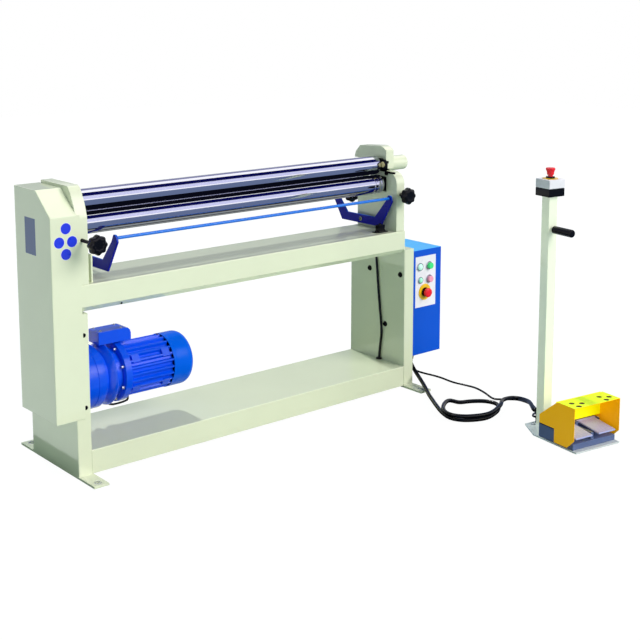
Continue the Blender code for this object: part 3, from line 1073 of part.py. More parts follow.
def build_stop_box(paints, stand, middle):
    """Makes the emergency stop box on the post."""
    half = STOP_BOX_HALF
    base = POST_TOP + GAP
    lid = base + STOP_BOX_BASE + GAP
    top = lid + STOP_BOX_LID
    left, right, front, back = middle - half, middle + half, POST_Y - half, POST_Y + half
    solid("stop_box_base", block((left, front, base), (right, back, lid - GAP)), paints["black"], stand)
    cover = solid("stop_box_lid", block((left, front, lid), (right, back, top)), paints["white"], stand)
    well = lid + STOP_BOX_LID / 3
    bore(cover, stand, "Z", well, top + OVERRUN, BUTTON_STEM_RADIUS + RUN, middle, POST_Y)
    collar = top + STOP_TRAVEL + RUN
    head = collar + STOP_COLLAR
    crown = head + STAND_STOP_LENGTH
    profile = [(well + STOP_TRAVEL + RUN, BUTTON_STEM_RADIUS), (head, BUTTON_STEM_RADIUS)]
    profile += [(head + STAND_STOP_LENGTH * along, STAND_STOP_RADIUS * out)
                for along, out in STAND_STOP_SHARES]
    solid("stand_stop_head", turned(profile, ROUND_SIDES, "Z", middle, POST_Y), paints["red"], stand,
          (middle, POST_Y, crown))


def build_pedals(paints, stand, middle):
    """Makes the pedal housing, both pedals and the guard over them."""
    left, right = CASTING_SIDE, PLATE_WIDTH - CASTING_SIDE
    foot = PLATE_SHEET + GAP
    side = [(CASTING_FRONT, foot), (CASTING_BACK, foot), (CASTING_BACK, CASTING_TOP),
            (CASTING_STEP, CASTING_TOP), (CASTING_STEP, CASTING_DECK), (CASTING_FRONT, CASTING_DECK)]
    casting = solid("pedal_housing", prism(side, left, right), paints["grey"], stand)
    weld(casting, block((middle - DIVIDER_HALF, DIVIDER_FRONT, CASTING_DECK - OVERRUN),
                        (middle + DIVIDER_HALF, CASTING_STEP + OVERRUN, DIVIDER_TOP)), stand)
    pivot_y, pivot_z = PEDAL_PIVOT_Y, PEDAL_PIVOT_Z
    ear = 2 * PEDAL_ROLL_RADIUS
    for low, high in ((left, left + EAR_WIDTH), (middle - DIVIDER_HALF, middle + DIVIDER_HALF),
                      (right - EAR_WIDTH, right)):
        weld(casting, block((low, pivot_y - ear, CASTING_DECK - OVERRUN),
                            (high, CASTING_STEP + OVERRUN, pivot_z + PEDAL_ROLL_RADIUS)), stand)

    half = PEDAL_SHEET / 2
    tread = [(pivot_y, pivot_z + half), (PEDAL_FRONT, PEDAL_FRONT_Z + half),
             (PEDAL_FRONT, PEDAL_FRONT_Z - half), (pivot_y, pivot_z - half)]
    for name, low, high, near, far in (
            ("left_pedal", left + EAR_WIDTH, middle - DIVIDER_HALF, PEDAL_SIDE, PEDAL_SLOT),
            ("right_pedal", middle + DIVIDER_HALF, right - EAR_WIDTH, PEDAL_SLOT, PEDAL_SIDE)):
        pedal = solid(name, prism(tread, low + near, high - far), paints["pedal"], stand,
                      ((low + high) / 2, pivot_y, pivot_z))
        weld(pedal, turned([(low + GAP, PEDAL_ROLL_RADIUS), (high - GAP, PEDAL_ROLL_RADIUS)],
                           SMALL_SIDES, "X", pivot_y, pivot_z), stand)

    hood = folded([(GUARD_FRONT, GUARD_TOP), (GUARD_BEND, GUARD_TOP), (GUARD_BACK, GUARD_BACK_TOP),
                   (GUARD_BACK, GUARD_BACK_FOOT)], -GUARD_SHEET)
    low_x, high_x = -GUARD_SIDE, PLATE_WIDTH + GUARD_SIDE
    guard = solid("pedal_guard", prism(hood, low_x, high_x), paints["guard"], stand)
    cheek = [(GUARD_FRONT, GUARD_TOP), (GUARD_FRONT, GUARD_CHIN_Z), (GUARD_CHIN_Y, GUARD_FOOT_Z),
             (GUARD_FOOT_BACK, GUARD_FOOT_Z), (GUARD_FOOT_BACK, GUARD_BACK_FOOT),
             (GUARD_BACK, GUARD_BACK_FOOT), (GUARD_BACK, GUARD_BACK_TOP), (GUARD_BEND, GUARD_TOP)]
    for near, far in ((low_x, low_x + GUARD_SHEET), (high_x - GUARD_SHEET, high_x)):
        weld(guard, prism(cheek, near, far), stand)
    for centre in (GUARD_HOLE_X, PLATE_WIDTH - GUARD_HOLE_X):
        for x, y in circle(GUARD_HOLE_REACH, GUARD_HOLES, centre, GUARD_HOLE_Y):
            bore(guard, stand, "Z", GUARD_TOP - GUARD_SHEET - OVERRUN, GUARD_TOP + OVERRUN,
                 GUARD_HOLE_RADIUS, x, y, SMALL_SIDES)


def smooth_route(points, steps):
    """Gives points on a smooth curve through the route's own points."""
    knots = [Vector(p) for p in points]
    ends = [knots[0] * 2 - knots[1]] + knots + [knots[-1] * 2 - knots[-2]]
    out = []
    for before, here, after, last in zip(ends, ends[1:], ends[2:], ends[3:]):
        for k in range(steps):
            t = k / steps
            out.append(0.5 * (2 * here + (after - before) * t
                              + (2 * before - 5 * here + 4 * after - last) * t ** 2
                              + (3 * here - before - 3 * after + last) * t ** 3))
    return out + [knots[-1]]


def tube(name, route, radius, steps, paint, root, resolution=2):
    """Makes a cable along a smooth curve through its route."""
    points = smooth_route(route, steps)
    curve = bpy.data.curves.new(name, "CURVE")
    curve.dimensions = "3D"
    curve.bevel_depth = radius
    curve.bevel_resolution = resolution
    curve.use_fill_caps = True
    curve.resolution_u = 1
    curve.render_resolution_u = 0
    spline = curve.splines.new("POLY")
    spline.points.add(len(points) - 1)
    for slot, point in zip(spline.points, points):
        slot.co = (*point, 1.0)
    curve.materials.append(paint)
    item = bpy.data.objects.new(name, curve)
    bpy.context.scene.collection.objects.link(item)
    item.parent = root
    return item


def build_cables(paints, root):
    """Makes the two cables from the electric box to the stand, and the one down the right leg."""
    rubber = paints["rubber"]
    thick = PEDAL_CABLE_RADIUS
    high = 3 * thick + thick / 2
    mouth = BOX_BOTTOM - GLAND_PLATE - GLAND_LENGTH - GAP
    turn = STAND_TURN
    middle = PLATE_WIDTH / 2
    edge = POST_Y + POST_WIDTH / 2 + GAP + GLAND_LENGTH / 2 + GAP

    def on_stand(x, y, z):
        """Gives a place in the stand's frame as one in the machine's."""
        return (STAND_X + x * math.cos(turn) - y * math.sin(turn),
                STAND_Y + x * math.sin(turn) + y * math.cos(turn), z)

    exit_x, exit_y = PEDAL_EXIT
    route = [(exit_x, exit_y, mouth), (exit_x, exit_y, mouth - 0.008), (exit_x, exit_y, mouth - 0.016),
             (1.579, 0.006, 0.058),
             (1.548, -0.078, 0.024), (1.500, -0.160, thick), (1.440, -0.255, thick), (1.392, -0.340, thick),
             (1.376, -0.402, thick), (1.404, -0.452, thick), (1.471, -0.484, thick), (1.536, -0.474, thick),
             (1.596, -0.444, thick), (1.632, -0.400, thick), (1.622, -0.352, thick), (1.580, -0.316, thick),
             (1.530, -0.298, 0.010), (1.474, -0.292, high), (1.418, -0.318, high), (1.372, -0.368, high),
             (1.364, -0.420, high), (1.400, -0.468, high), (1.482, -0.496, high), (1.580, -0.464, high),
             (1.640, -0.426, high), (1.694, -0.420, 0.024), (1.712, -0.452, 0.026), (1.690, -0.512, 0.036),
             (1.652, -0.560, 0.044), on_stand(middle, edge + 0.024, POST_GLAND_Z),
             on_stand(middle, edge + 0.012, POST_GLAND_Z), on_stand(middle, edge, POST_GLAND_Z)]
    tube("pedal_cable", route, thick, 2, rubber, root)

    thin = STOP_CABLE_RADIUS
    exit_x, exit_y = STOP_EXIT
    side = middle - GLAND_RADIUS / 2
    route = [(exit_x, exit_y, mouth), (exit_x, exit_y, mouth - 0.008), (exit_x, exit_y, mouth - 0.016),
             (1.648, 0.150, 0.050),
             (1.682, 0.108, 0.014), (1.704, 0.060, thin), (1.713, -0.010, thin), (1.708, -0.090, thin),
             (1.719, -0.153, thin), (1.724, -0.205, thin), (1.708, -0.268, thin), (1.680, -0.340, thin),
             (1.700, -0.372, thin), (1.745, -0.420, thin), (1.736, -0.500, thin), (1.680, -0.562, 0.008),
             (1.634, -0.588, 0.016),
             on_stand(side, edge + 0.020, POST_THIN_GLAND_Z),
             on_stand(side, edge + 0.010, POST_THIN_GLAND_Z), on_stand(side, edge, POST_THIN_GLAND_Z)]
    tube("stop_cable", route, thin, 3, rubber, root)

    x = RIGHT_LEG_X - LEG_CABLE_RADIUS - RUN
    low = PAN_TOP + GAP
    rise = BEAM_TOP - BEAM_SHEET - GAP - low
    route = [(x, LEG_DEPTH * back, low + rise * up) for back, up in LEG_CABLE_SHARES]
    tube("leg_cable", route, LEG_CABLE_RADIUS, 3, rubber, root)


def centre_on_floor(root, left_out):
    """Moves the root so that the bottom centre of the object's box is the origin."""
    bpy.context.view_layer.update()
    graph = bpy.context.evaluated_depsgraph_get()
    low = Vector((math.inf,) * 3)
    high = -low
    for item in bpy.context.scene.objects:
        if item.type == "EMPTY" or item.hide_render or item.name in left_out:
            continue
        shape = item.evaluated_get(graph)
        mesh = shape.to_mesh()
        for vertex in mesh.vertices:
            point = item.matrix_world @ vertex.co
            low = Vector(map(min, low, point))
            high = Vector(map(max, high, point))
        shape.to_mesh_clear()
    root.location = (-(low.x + high.x) / 2, -(low.y + high.y) / 2, -low.z)
    bpy.context.view_layer.update()
    print("machine frame stands at", tuple(round(v, 6) for v in root.location))


def main():
    """Builds the whole object."""
    for item in list(bpy.data.objects):
        bpy.data.objects.remove(item)
    root = bpy.data.objects.new("machine_frame", None)
    bpy.context.scene.collection.objects.link(root)
    paints = make_finishes()
    build_frame(paints, root)
    build_housings(paints, root)
    build_rolls(paints, root)
    build_drive(paints, root)
    build_knobs(paints, root)
    build_trip_frame(paints, root)
    build_box(paints, root)
    build_stand(paints, root)
    build_cables(paints, root)
    centre_on_floor(root, ("pedal_cable", "stop_cable"))


main()
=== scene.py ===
"""Looks of a powered slip roll: finishes, turned and folded forms, cables, studio and camera.

Every size is in metres. The machine has a frame of its own: x runs from the outer face of the
left leg, y from the front of the electric box, z from the floor. MACHINE carries it to the frame
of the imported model, and STAND carries the pedal stand's own frame to the machine's.
"""

import json
import logging
import math
from collections.abc import Callable, Iterable, Sequence
from dataclasses import dataclass
from enum import Enum

import bmesh
import bpy
from mathutils import Matrix, Vector

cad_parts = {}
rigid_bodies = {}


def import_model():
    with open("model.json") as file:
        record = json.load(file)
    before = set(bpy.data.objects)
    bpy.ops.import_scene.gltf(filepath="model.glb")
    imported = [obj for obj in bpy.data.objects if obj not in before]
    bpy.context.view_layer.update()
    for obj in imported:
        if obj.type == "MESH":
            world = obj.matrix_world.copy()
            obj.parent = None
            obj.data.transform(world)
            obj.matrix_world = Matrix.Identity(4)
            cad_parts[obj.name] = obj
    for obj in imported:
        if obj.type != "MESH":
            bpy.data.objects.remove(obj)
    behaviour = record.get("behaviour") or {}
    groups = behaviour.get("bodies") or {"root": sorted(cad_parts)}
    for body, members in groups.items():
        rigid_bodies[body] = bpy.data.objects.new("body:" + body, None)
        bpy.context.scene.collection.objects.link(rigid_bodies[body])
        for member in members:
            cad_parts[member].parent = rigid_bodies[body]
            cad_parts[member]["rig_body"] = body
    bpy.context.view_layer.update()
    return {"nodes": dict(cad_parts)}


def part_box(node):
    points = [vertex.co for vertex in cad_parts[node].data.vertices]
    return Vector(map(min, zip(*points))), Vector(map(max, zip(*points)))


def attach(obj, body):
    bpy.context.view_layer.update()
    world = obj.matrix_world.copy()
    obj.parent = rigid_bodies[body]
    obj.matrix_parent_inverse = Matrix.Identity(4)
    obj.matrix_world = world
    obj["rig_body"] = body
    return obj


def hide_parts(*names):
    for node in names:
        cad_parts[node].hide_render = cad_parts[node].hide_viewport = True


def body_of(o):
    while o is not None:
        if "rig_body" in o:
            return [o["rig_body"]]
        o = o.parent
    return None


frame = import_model()
MACHINE = Vector((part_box("left_leg")[0].x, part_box("box_door")[0].y, 0.0))
STAND = Matrix.Translation((1.457, -0.930, 0.0)) @ Matrix.Rotation(math.radians(-8), 4, "Z")
WELD = 1e-5             # distance at which two points are one
NEAR = 1e-4             # distance at which an edge lies on a face
FLAT_ANGLE = 0.5        # degrees between faces that are one
FACING = 0.9            # least cosine between a face's normal and the way that it looks
FULL_TURN = 2 * math.pi
LEAST_ROUGHNESS = 0.03
BEND_STEPS = 4          # faces across a folded edge
RING_SIDES = 56
RING_EDGE = 0.2         # rounding of a ring's rim as a share of its height
WASHER_SIDES = 32
# Shares of the height and of the radius along a screw's washer, and along its head and socket
WASHER_ROWS = ((0.0, 1.35), (0.176, 1.35), (0.22, 1.28))
HEAD_ROWS = ((0.22, 1.0), (0.84, 1.0), (1.0, 0.84), (1.0, 0.5), (0.6, 0.45))

log = logging.getLogger("slip_roll")

Pair = tuple[float, float]
Triple = tuple[float, float, float]
Colour = tuple[float, float, float]
Point = Sequence[float]
Test = Callable[[Vector], bool]
Head = tuple[float, float, int]     # radius, height with the washer, sides
PURE_WHITE: Colour = (1.0, 1.0, 1.0)


def srgb(*channels: int) -> Colour:
    """Turn red, green and blue as they are seen, 0 to 255, into what a shader takes."""
    shares = (channel / 255 for channel in channels)
    return tuple(s / 12.92 if s <= 0.04045 else ((s + 0.055) / 1.055) ** 2.4 for s in shares)


def toned(colour: Colour, share: float) -> Colour:
    """Return a colour with every channel multiplied by a share."""
    return tuple(min(1.0, channel * share) for channel in colour)


def carrier(node: str) -> str:
    """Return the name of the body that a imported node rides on."""
    return body_of(frame["nodes"][node])[0]


def span(node: str) -> tuple[Vector, Vector]:
    """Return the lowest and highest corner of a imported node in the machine's frame."""
    low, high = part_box(node)
    return low - MACHINE, high - MACHINE


def middle_of(node: str) -> Vector:
    """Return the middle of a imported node's box in the machine's frame."""
    return sum(span(node), Vector()) / 2


def shaft_of(node: str) -> Point:
    """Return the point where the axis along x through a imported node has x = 0."""
    return (0.0, *middle_of(node).yz)


def at_ends(place: float, low: float, high: float) -> bool:
    """Tell whether a place lies at either end of a stretch."""
    return min(place - low, high - place) < NEAR


class Value:
    """A shader socket that takes part in sums: each operation adds a Math node."""

    def __init__(self, shade: "Shade", socket: bpy.types.NodeSocket) -> None:
        """Keep the socket and the material that it belongs to."""
        self.shade = shade
        self.socket = socket

    def _math(self, operation: str, *terms: "Value | float") -> "Value":
        """Add one Math node with values or numbers for its sockets."""
        return self.shade.value("ShaderNodeMath", dict(enumerate(terms)), operation=operation)

    def __add__(self, other: "Value | float") -> "Value":
        """Add."""
        return self._math("ADD", self, other)

    __radd__ = __add__

    def __sub__(self, other: "Value | float") -> "Value":
        """Subtract."""
        return self._math("SUBTRACT", self, other)

    def __rsub__(self, other: float) -> "Value":
        """Subtract from a number."""
        return self._math("SUBTRACT", other, self)

    def __mul__(self, other: "Value | float") -> "Value":
        """Multiply."""
        return self._math("MULTIPLY", self, other)

    __rmul__ = __mul__

    def clamped(self, low: float = 0.0, high: float = 1.0) -> "Value":
        """Hold the value between two numbers."""
        return self._math("MINIMUM", self._math("MAXIMUM", self, low), high)


Sockets = dict[str | int, "Value | float | Colour"]


@dataclass(frozen=True)
class Grain:
    """An even noise over a surface."""

    spots: float            # to the metre
    octaves: float
    stretch: Triple = (1.0, 1.0, 1.0)
    keep: float = 0.5       # share that each octave keeps of the one before


class Shade:
    """One material, or the world, while its nodes are laid out."""

    def __init__(self, owner: bpy.types.Material | bpy.types.World) -> None:
        """Start with an empty node tree."""
        self.owner = owner
        owner.use_nodes = True
        self.tree = owner.node_tree
        self.tree.nodes.clear()
        self.grains: dict[Grain, Value] = {}

    @classmethod
    def named(cls, name: str) -> "Shade":
        """Start a material under a name."""
        return cls(bpy.data.materials.new(name))

    def node(self, kind: str, inputs: Sockets | None = None, **settings: object) -> bpy.types.Node:
        """Add a node, set it up, then fill its sockets.

        Args:
            kind: The node's type.
            inputs: Numbers, colours or values for its sockets, by name or place.
            **settings: Its attributes; stops holds a ramp's places and colours.

        Returns:
            The node.
        """
        node = self.tree.nodes.new(kind)
        for name, setting in settings.items():
            if name == "stops":
                ramp = node.color_ramp.elements
                while len(ramp) < len(setting):
                    ramp.new(1.0)
                for element, (place, colour) in zip(ramp, setting):
                    element.position = place
                    element.color = (*colour, 1.0)
            else:
                setattr(node, name, setting)
        for key, given in (inputs or {}).items():
            socket = node.inputs[key]
            if isinstance(given, Value):
                self.tree.links.new(given.socket, socket)
            else:
                socket.default_value = (*given, 1.0) if socket.type == "RGBA" else given
        return node

    def value(self, kind: str, inputs: Sockets | None = None, output: str | int = 0,
              **settings: object) -> Value:
        """Add a node and return one of its outputs."""
        return Value(self, self.node(kind, inputs, **settings).outputs[output])

    def noise(self, grain: Grain) -> Value:
        """Return a noise from 0 to 1 on the piece, laid out once.

        Args:
            grain: What the noise is like.

        Returns:
            The noise.
        """
        if grain not in self.grains:
            point = self.value("ShaderNodeTexCoord", output="Object")
            place = self.value("ShaderNodeMapping", {"Vector": point, "Scale": grain.stretch})
            self.grains[grain] = self.value("ShaderNodeTexNoise", {
                "Vector": place, "Scale": grain.spots, "Detail": grain.octaves,
                "Roughness": grain.keep})
        return self.grains[grain]

    def mix(self, share: Value, first: Value | Colour, second: Value | Colour) -> Value:
        """Mix two colours by a share of the second."""
        return self.value("ShaderNodeMix", {0: share, 6: first, 7: second}, 2, data_type="RGBA")

    def ramp(self, share: Value, low: float, high: float) -> Value:
        """Return 0 under one value, 1 over another, and a straight line between."""
        return self.value("ShaderNodeMapRange", {"Value": share, "From Min": low,
                                                 "From Max": high}, clamp=True)

    def bump(self, height: Value, depth: float) -> Value:
        """Return a normal that rises by the depth in metres where the height goes from 0 to 1."""
        return self.value("ShaderNodeBump", {"Height": height, "Distance": depth, "Strength": 1.0})

    def seen(self) -> Value:
        """Return 1 for what the eye sees, straight, mirrored or through glass, else 0."""
        path = self.node("ShaderNodeLightPath")
        return sum(Value(self, path.outputs[f"Is {ray} Ray"])
                   for ray in ("Camera", "Glossy", "Transmission")).clamped()

    def close(self, kind: str, inputs: Sockets) -> bpy.types.Material | bpy.types.World:
        """Add the last shader and the output.

        Args:
            kind: The shader's type.
            inputs: What its sockets take.

        Returns:
            The finished material or world.
        """
        output = "World" if isinstance(self.owner, bpy.types.World) else "Material"
        self.node(f"ShaderNodeOutput{output}", {"Surface": self.value(kind, inputs)})
        return self.owner


PEEL = Grain(90.0, 1.5)
SMEARS = Grain(14.0, 4.0, (1.0, 1.0, 2.5))
RINGS = Grain(900.0, 2.0, (1.0, 0.02, 0.02))
OIL = Grain(7.0, 3.0, (0.4, 3.0, 3.0))
SAND = Grain(180.0, 4.0, keep=0.6)
SCUFFS = Grain(60.0, 4.0, (1.0, 1.0, 0.4))
BRUSHING = Grain(12.0, 3.0, (60.0, 1.5, 60.0))
SHEEN = Grain(16.0, 3.0)


@dataclass(frozen=True)
class Skin:
    """What all finishes share: colour, slot name, light, clouds, wear and relief."""

    colour: Colour
    slot: str
    rough: float = 0.34
    metal: float = 0.0
    coat: float = 0.0
    gloss: float = 0.03
    shine: float = 0.5
    # Emission strength of the colour: a lamp's own light, and painted light on other parts
    glow: float = 0.0
    cloud: Grain = Grain(5.0, 3.0)
    tone: float = 0.92
    # Noises in the roughness and how far each spreads it
    wear: tuple[tuple[Grain, float], ...] = ((SMEARS, 0.16),)
    relief: Grain = PEEL
    depth: float = 0.000006

    def layers(self, shade: Shade) -> Sockets:
        """Lay clouds on the colour, wear on the roughness and relief on the normal.

        Args:
            shade: The material while it is laid out.

        Returns:
            What varies over the surface, by the shader's sockets.
        """
        clouds = shade.mix(shade.noise(self.cloud), self.colour, toned(self.colour, self.tone))
        wear = sum(shade.noise(grain) * spread for grain, spread in self.wear)
        least = self.rough - sum(spread for _, spread in self.wear) / 2
        return {"Base Color": clouds, "Roughness": (wear + least).clamped(LEAST_ROUGHNESS),
                "Normal": shade.bump(shade.noise(self.relief), self.depth)}

    def make(self, name: str) -> bpy.types.Material:
        """Lay out the material under a name."""
        shade = Shade.named(name)
        return shade.close("ShaderNodeBsdfPrincipled", {
            "Metallic": self.metal, "Coat Weight": self.coat, "Coat Roughness": self.gloss,
            "Specular IOR Level": self.shine, "Emission Color": self.colour,
            "Emission Strength": self.glow, **self.layers(shade)})


@dataclass(frozen=True)
class Enamel(Skin):
    """Sprayed enamel: clouded colour, orange peel, a hint of dust, perhaps painted light on the
    faces that look up.
    """

    coat: float = 1.0
    specks: Grain = Grain(1400.0, 1.0)
    speck_band: Pair = (0.62, 0.80)
    speck_tone: float = 0.55
    dust: float = 0.03
    # Painted light: a lighter colour on the faces that look up, faded in over a band of the
    # normal's z
    painted_top_light: Colour | None = None
    painted_top_light_band: Pair = (0.15, 0.85)

    def layers(self, shade: Shade) -> Sockets:
        """Lay dust, and painted light on the faces that look up, over the clouds, and let the whole
        colour glow.

        Args:
            shade: The material while it is laid out.

        Returns:
            What varies over the surface, by the shader's sockets.
        """
        layers = super().layers(shade)
        dust = shade.ramp(shade.noise(self.specks), *self.speck_band) * self.dust
        tint = shade.mix(dust, layers["Base Color"], toned(self.colour, self.speck_tone))
        # Painted light: the faces that look up take the lighter colour
        if self.painted_top_light:
            facing = shade.value("ShaderNodeTexCoord", output="Normal")
            rise = shade.value("ShaderNodeSeparateXYZ", {0: facing}, "Z")
            tint = shade.mix(shade.ramp(rise, *self.painted_top_light_band), tint, self.painted_top_light)
        return {**layers, "Base Color": tint, "Emission Color": tint}


@dataclass(frozen=True)
class TurnedSteel(Skin):
    """Ground or turned steel: fine rings round the x axis, faint smears of oil."""

    metal: float = 1.0
    cloud: Grain = OIL
    wear: tuple[tuple[Grain, float], ...] = ((RINGS, 0.05), (OIL, 0.04))
    relief: Grain = RINGS
    depth: float = 0.000002


@dataclass(frozen=True)
class Casting(Skin):
    """Painted or bare iron casting: coarse skin under the finish."""

    coat: float = 0.15
    gloss: float = 0.10
    cloud: Grain = Grain(9.0, 3.0)
    tone: float = 0.82
    wear: tuple[tuple[Grain, float], ...] = ((SAND, 0.22),)
    relief: Grain = SAND
    depth: float = 0.00012


@dataclass(frozen=True)
class Moulded(Skin):
    """Moulded plastic or rubber: fine grain, scuffs that dull the gloss."""

    coat: float = 0.2
    gloss: float = 0.06
    cloud: Grain = Grain(20.0, 2.0)
    tone: float = 0.86
    wear: tuple[tuple[Grain, float], ...] = ((SCUFFS, 0.20),)
    relief: Grain = Grain(1200.0, 2.0)
    depth: float = 0.00001


@dataclass(frozen=True)
class Plated(Skin):
    """Zinc or chrome plated sheet: brushed along y, with clouded sheen."""

    metal: float = 1.0
    cloud: Grain = SHEEN
    tone: float = 0.86
    wear: tuple[tuple[Grain, float], ...] = ((BRUSHING, 0.10), (SHEEN, 0.10))
    relief: Grain = BRUSHING


class Finish(Enum):
    """Every finish on the machine."""

    CREAM = Enamel(srgb(226, 236, 206), "cream")
    CREAM_CAST = Enamel(srgb(224, 234, 205), "cream", rough=0.38, coat=0.7, gloss=0.08,
                        relief=Grain(150.0, 1.5), depth=0.00003)
    # Painted light: a glowing copy of the cream that keeps the post's shaded side bright
    CREAM_POST_PAINTED_LIGHT = Enamel(srgb(228, 238, 214), "cream", glow=0.26)
    ROLL_STEEL = TurnedSteel(srgb(196, 196, 206), "steel", rough=0.065)
    SHAFT_STEEL = TurnedSteel(srgb(120, 134, 168), "steel", rough=0.225)
    BRIGHT_STEEL = Plated(srgb(205, 208, 212), "steel", rough=0.22)
    BRASS = TurnedSteel(srgb(206, 200, 140), "steel", rough=0.345)
    BLACK_IRON = Casting(srgb(12, 13, 16), "black_iron", metal=0.1, coat=0.05, shine=0.25)
    CHAIN_STEEL = Casting(srgb(70, 66, 62), "black_iron", rough=0.40, metal=0.9, depth=0.00002)
    GEAR_STEEL = TurnedSteel(srgb(120, 120, 124), "cast", rough=0.325)
    BLACK = Moulded(srgb(3, 3, 6), "black", rough=0.14, coat=0.0, shine=0.22,
                    wear=((SCUFFS, 0.10),))
    RUBBER = Moulded(srgb(10, 10, 12), "rubber", rough=0.38, coat=0.0, shine=0.25,
                     relief=Grain(700.0, 2.0), depth=0.00003)
    SHEATH = Moulded(srgb(5, 5, 7), "rubber", rough=0.24, coat=0.0, shine=0.28,
                     relief=Grain(900.0, 2.0))
    MOTOR = Casting(srgb(0, 82, 238), "motor", rough=0.20, coat=0.35, shine=0.3,
                    depth=0.000008)
    COWL = Enamel(srgb(0, 94, 226), "motor", rough=0.22, coat=0.05, shine=0.06)
    # Painted light: the box's top faces take a lighter blue
    BOX = Enamel(srgb(0, 84, 212), "box", coat=0.05, painted_top_light=srgb(58, 176, 250), shine=0.2)
    # Painted light: the arms' top faces take a lighter blue, and the arms glow a little
    TRIP = Enamel(srgb(0, 8, 150), "trip", rough=0.30, coat=0.02, painted_top_light=srgb(16, 96, 214),
                  shine=0.12, glow=0.06)
    TRIP_ROD = Enamel(srgb(8, 116, 228), "trip", rough=0.24, coat=0.3)
    # Painted light: the start button glows; the two lamps after it glow as lamps
    GREEN = Moulded(srgb(60, 226, 126), "green", rough=0.22, glow=0.15)
    MINT = Moulded(srgb(160, 240, 206), "green", rough=0.22, glow=0.25)
    LAMP = Moulded(srgb(196, 250, 228), "white", rough=0.18, glow=0.30)
    # Painted light: the reset button and the red stop heads glow
    PINK = Moulded(srgb(240, 158, 184), "pink", rough=0.24, glow=0.10)
    RED = Moulded(srgb(232, 22, 34), "red", rough=0.20, glow=0.12, coat=0.1)
    YELLOW = Moulded(srgb(250, 206, 20), "guard", rough=0.30)
    # Painted shade: a darkened copy of the guard's colour that fills the roof's holes
    HOLE_SHADE = Moulded(srgb(74, 56, 10), "guard", rough=0.40, coat=0.0, shine=0.1)
    # Painted light: the guard's top faces take a yellow-green, and the whole guard glows
    GUARD = Enamel(srgb(252, 184, 0), "guard", rough=0.42, coat=0.03, gloss=0.12,
                   painted_top_light=srgb(216, 246, 0), shine=0.2, glow=0.22)
    # Painted light: a lighter, strongly glowing copy of the guard's yellow for the wall inside it
    GUARD_WALL_PAINTED_LIGHT = Enamel(srgb(236, 236, 0), "guard", rough=0.42, coat=0.03, shine=0.2, glow=0.5)
    WHITE = Moulded(srgb(240, 242, 250), "white", rough=0.30)
    GREY = Casting(srgb(88, 108, 152), "grey", rough=0.40, coat=0.1)
    PALE = Enamel(srgb(214, 226, 226), "pale", coat=0.4)
    # Painted light: the pedals glow
    PEDAL = Plated(srgb(160, 170, 216), "pedal", rough=0.28, metal=0.0, glow=0.22)
    PLATE_BLUE = Enamel(srgb(56, 92, 150), "box", rough=0.30, coat=0.1)
    DISC_BLUE = Enamel(srgb(36, 60, 230), "box", rough=0.30, coat=0.1, shine=0.3)

    def material(self) -> bpy.types.Material:
        """Return the finish's material, made once."""
        name = f"{self.name.lower()}_finish"
        return bpy.data.materials.get(name) or self.value.make(name)


class Axis(Enum):
    """Directions of the machine: the way along, and the two that go round it."""

    X = ((1, 0, 0), (0, 1, 0), (0, 0, 1))
    Y = ((0, 1, 0), (0, 0, 1), (1, 0, 0))
    Z = ((0, 0, 1), (1, 0, 0), (0, 1, 0))

    def frame(self) -> tuple[Vector, Vector, Vector]:
        """Return the three directions as vectors."""
        return tuple(Vector(direction) for direction in self.value)


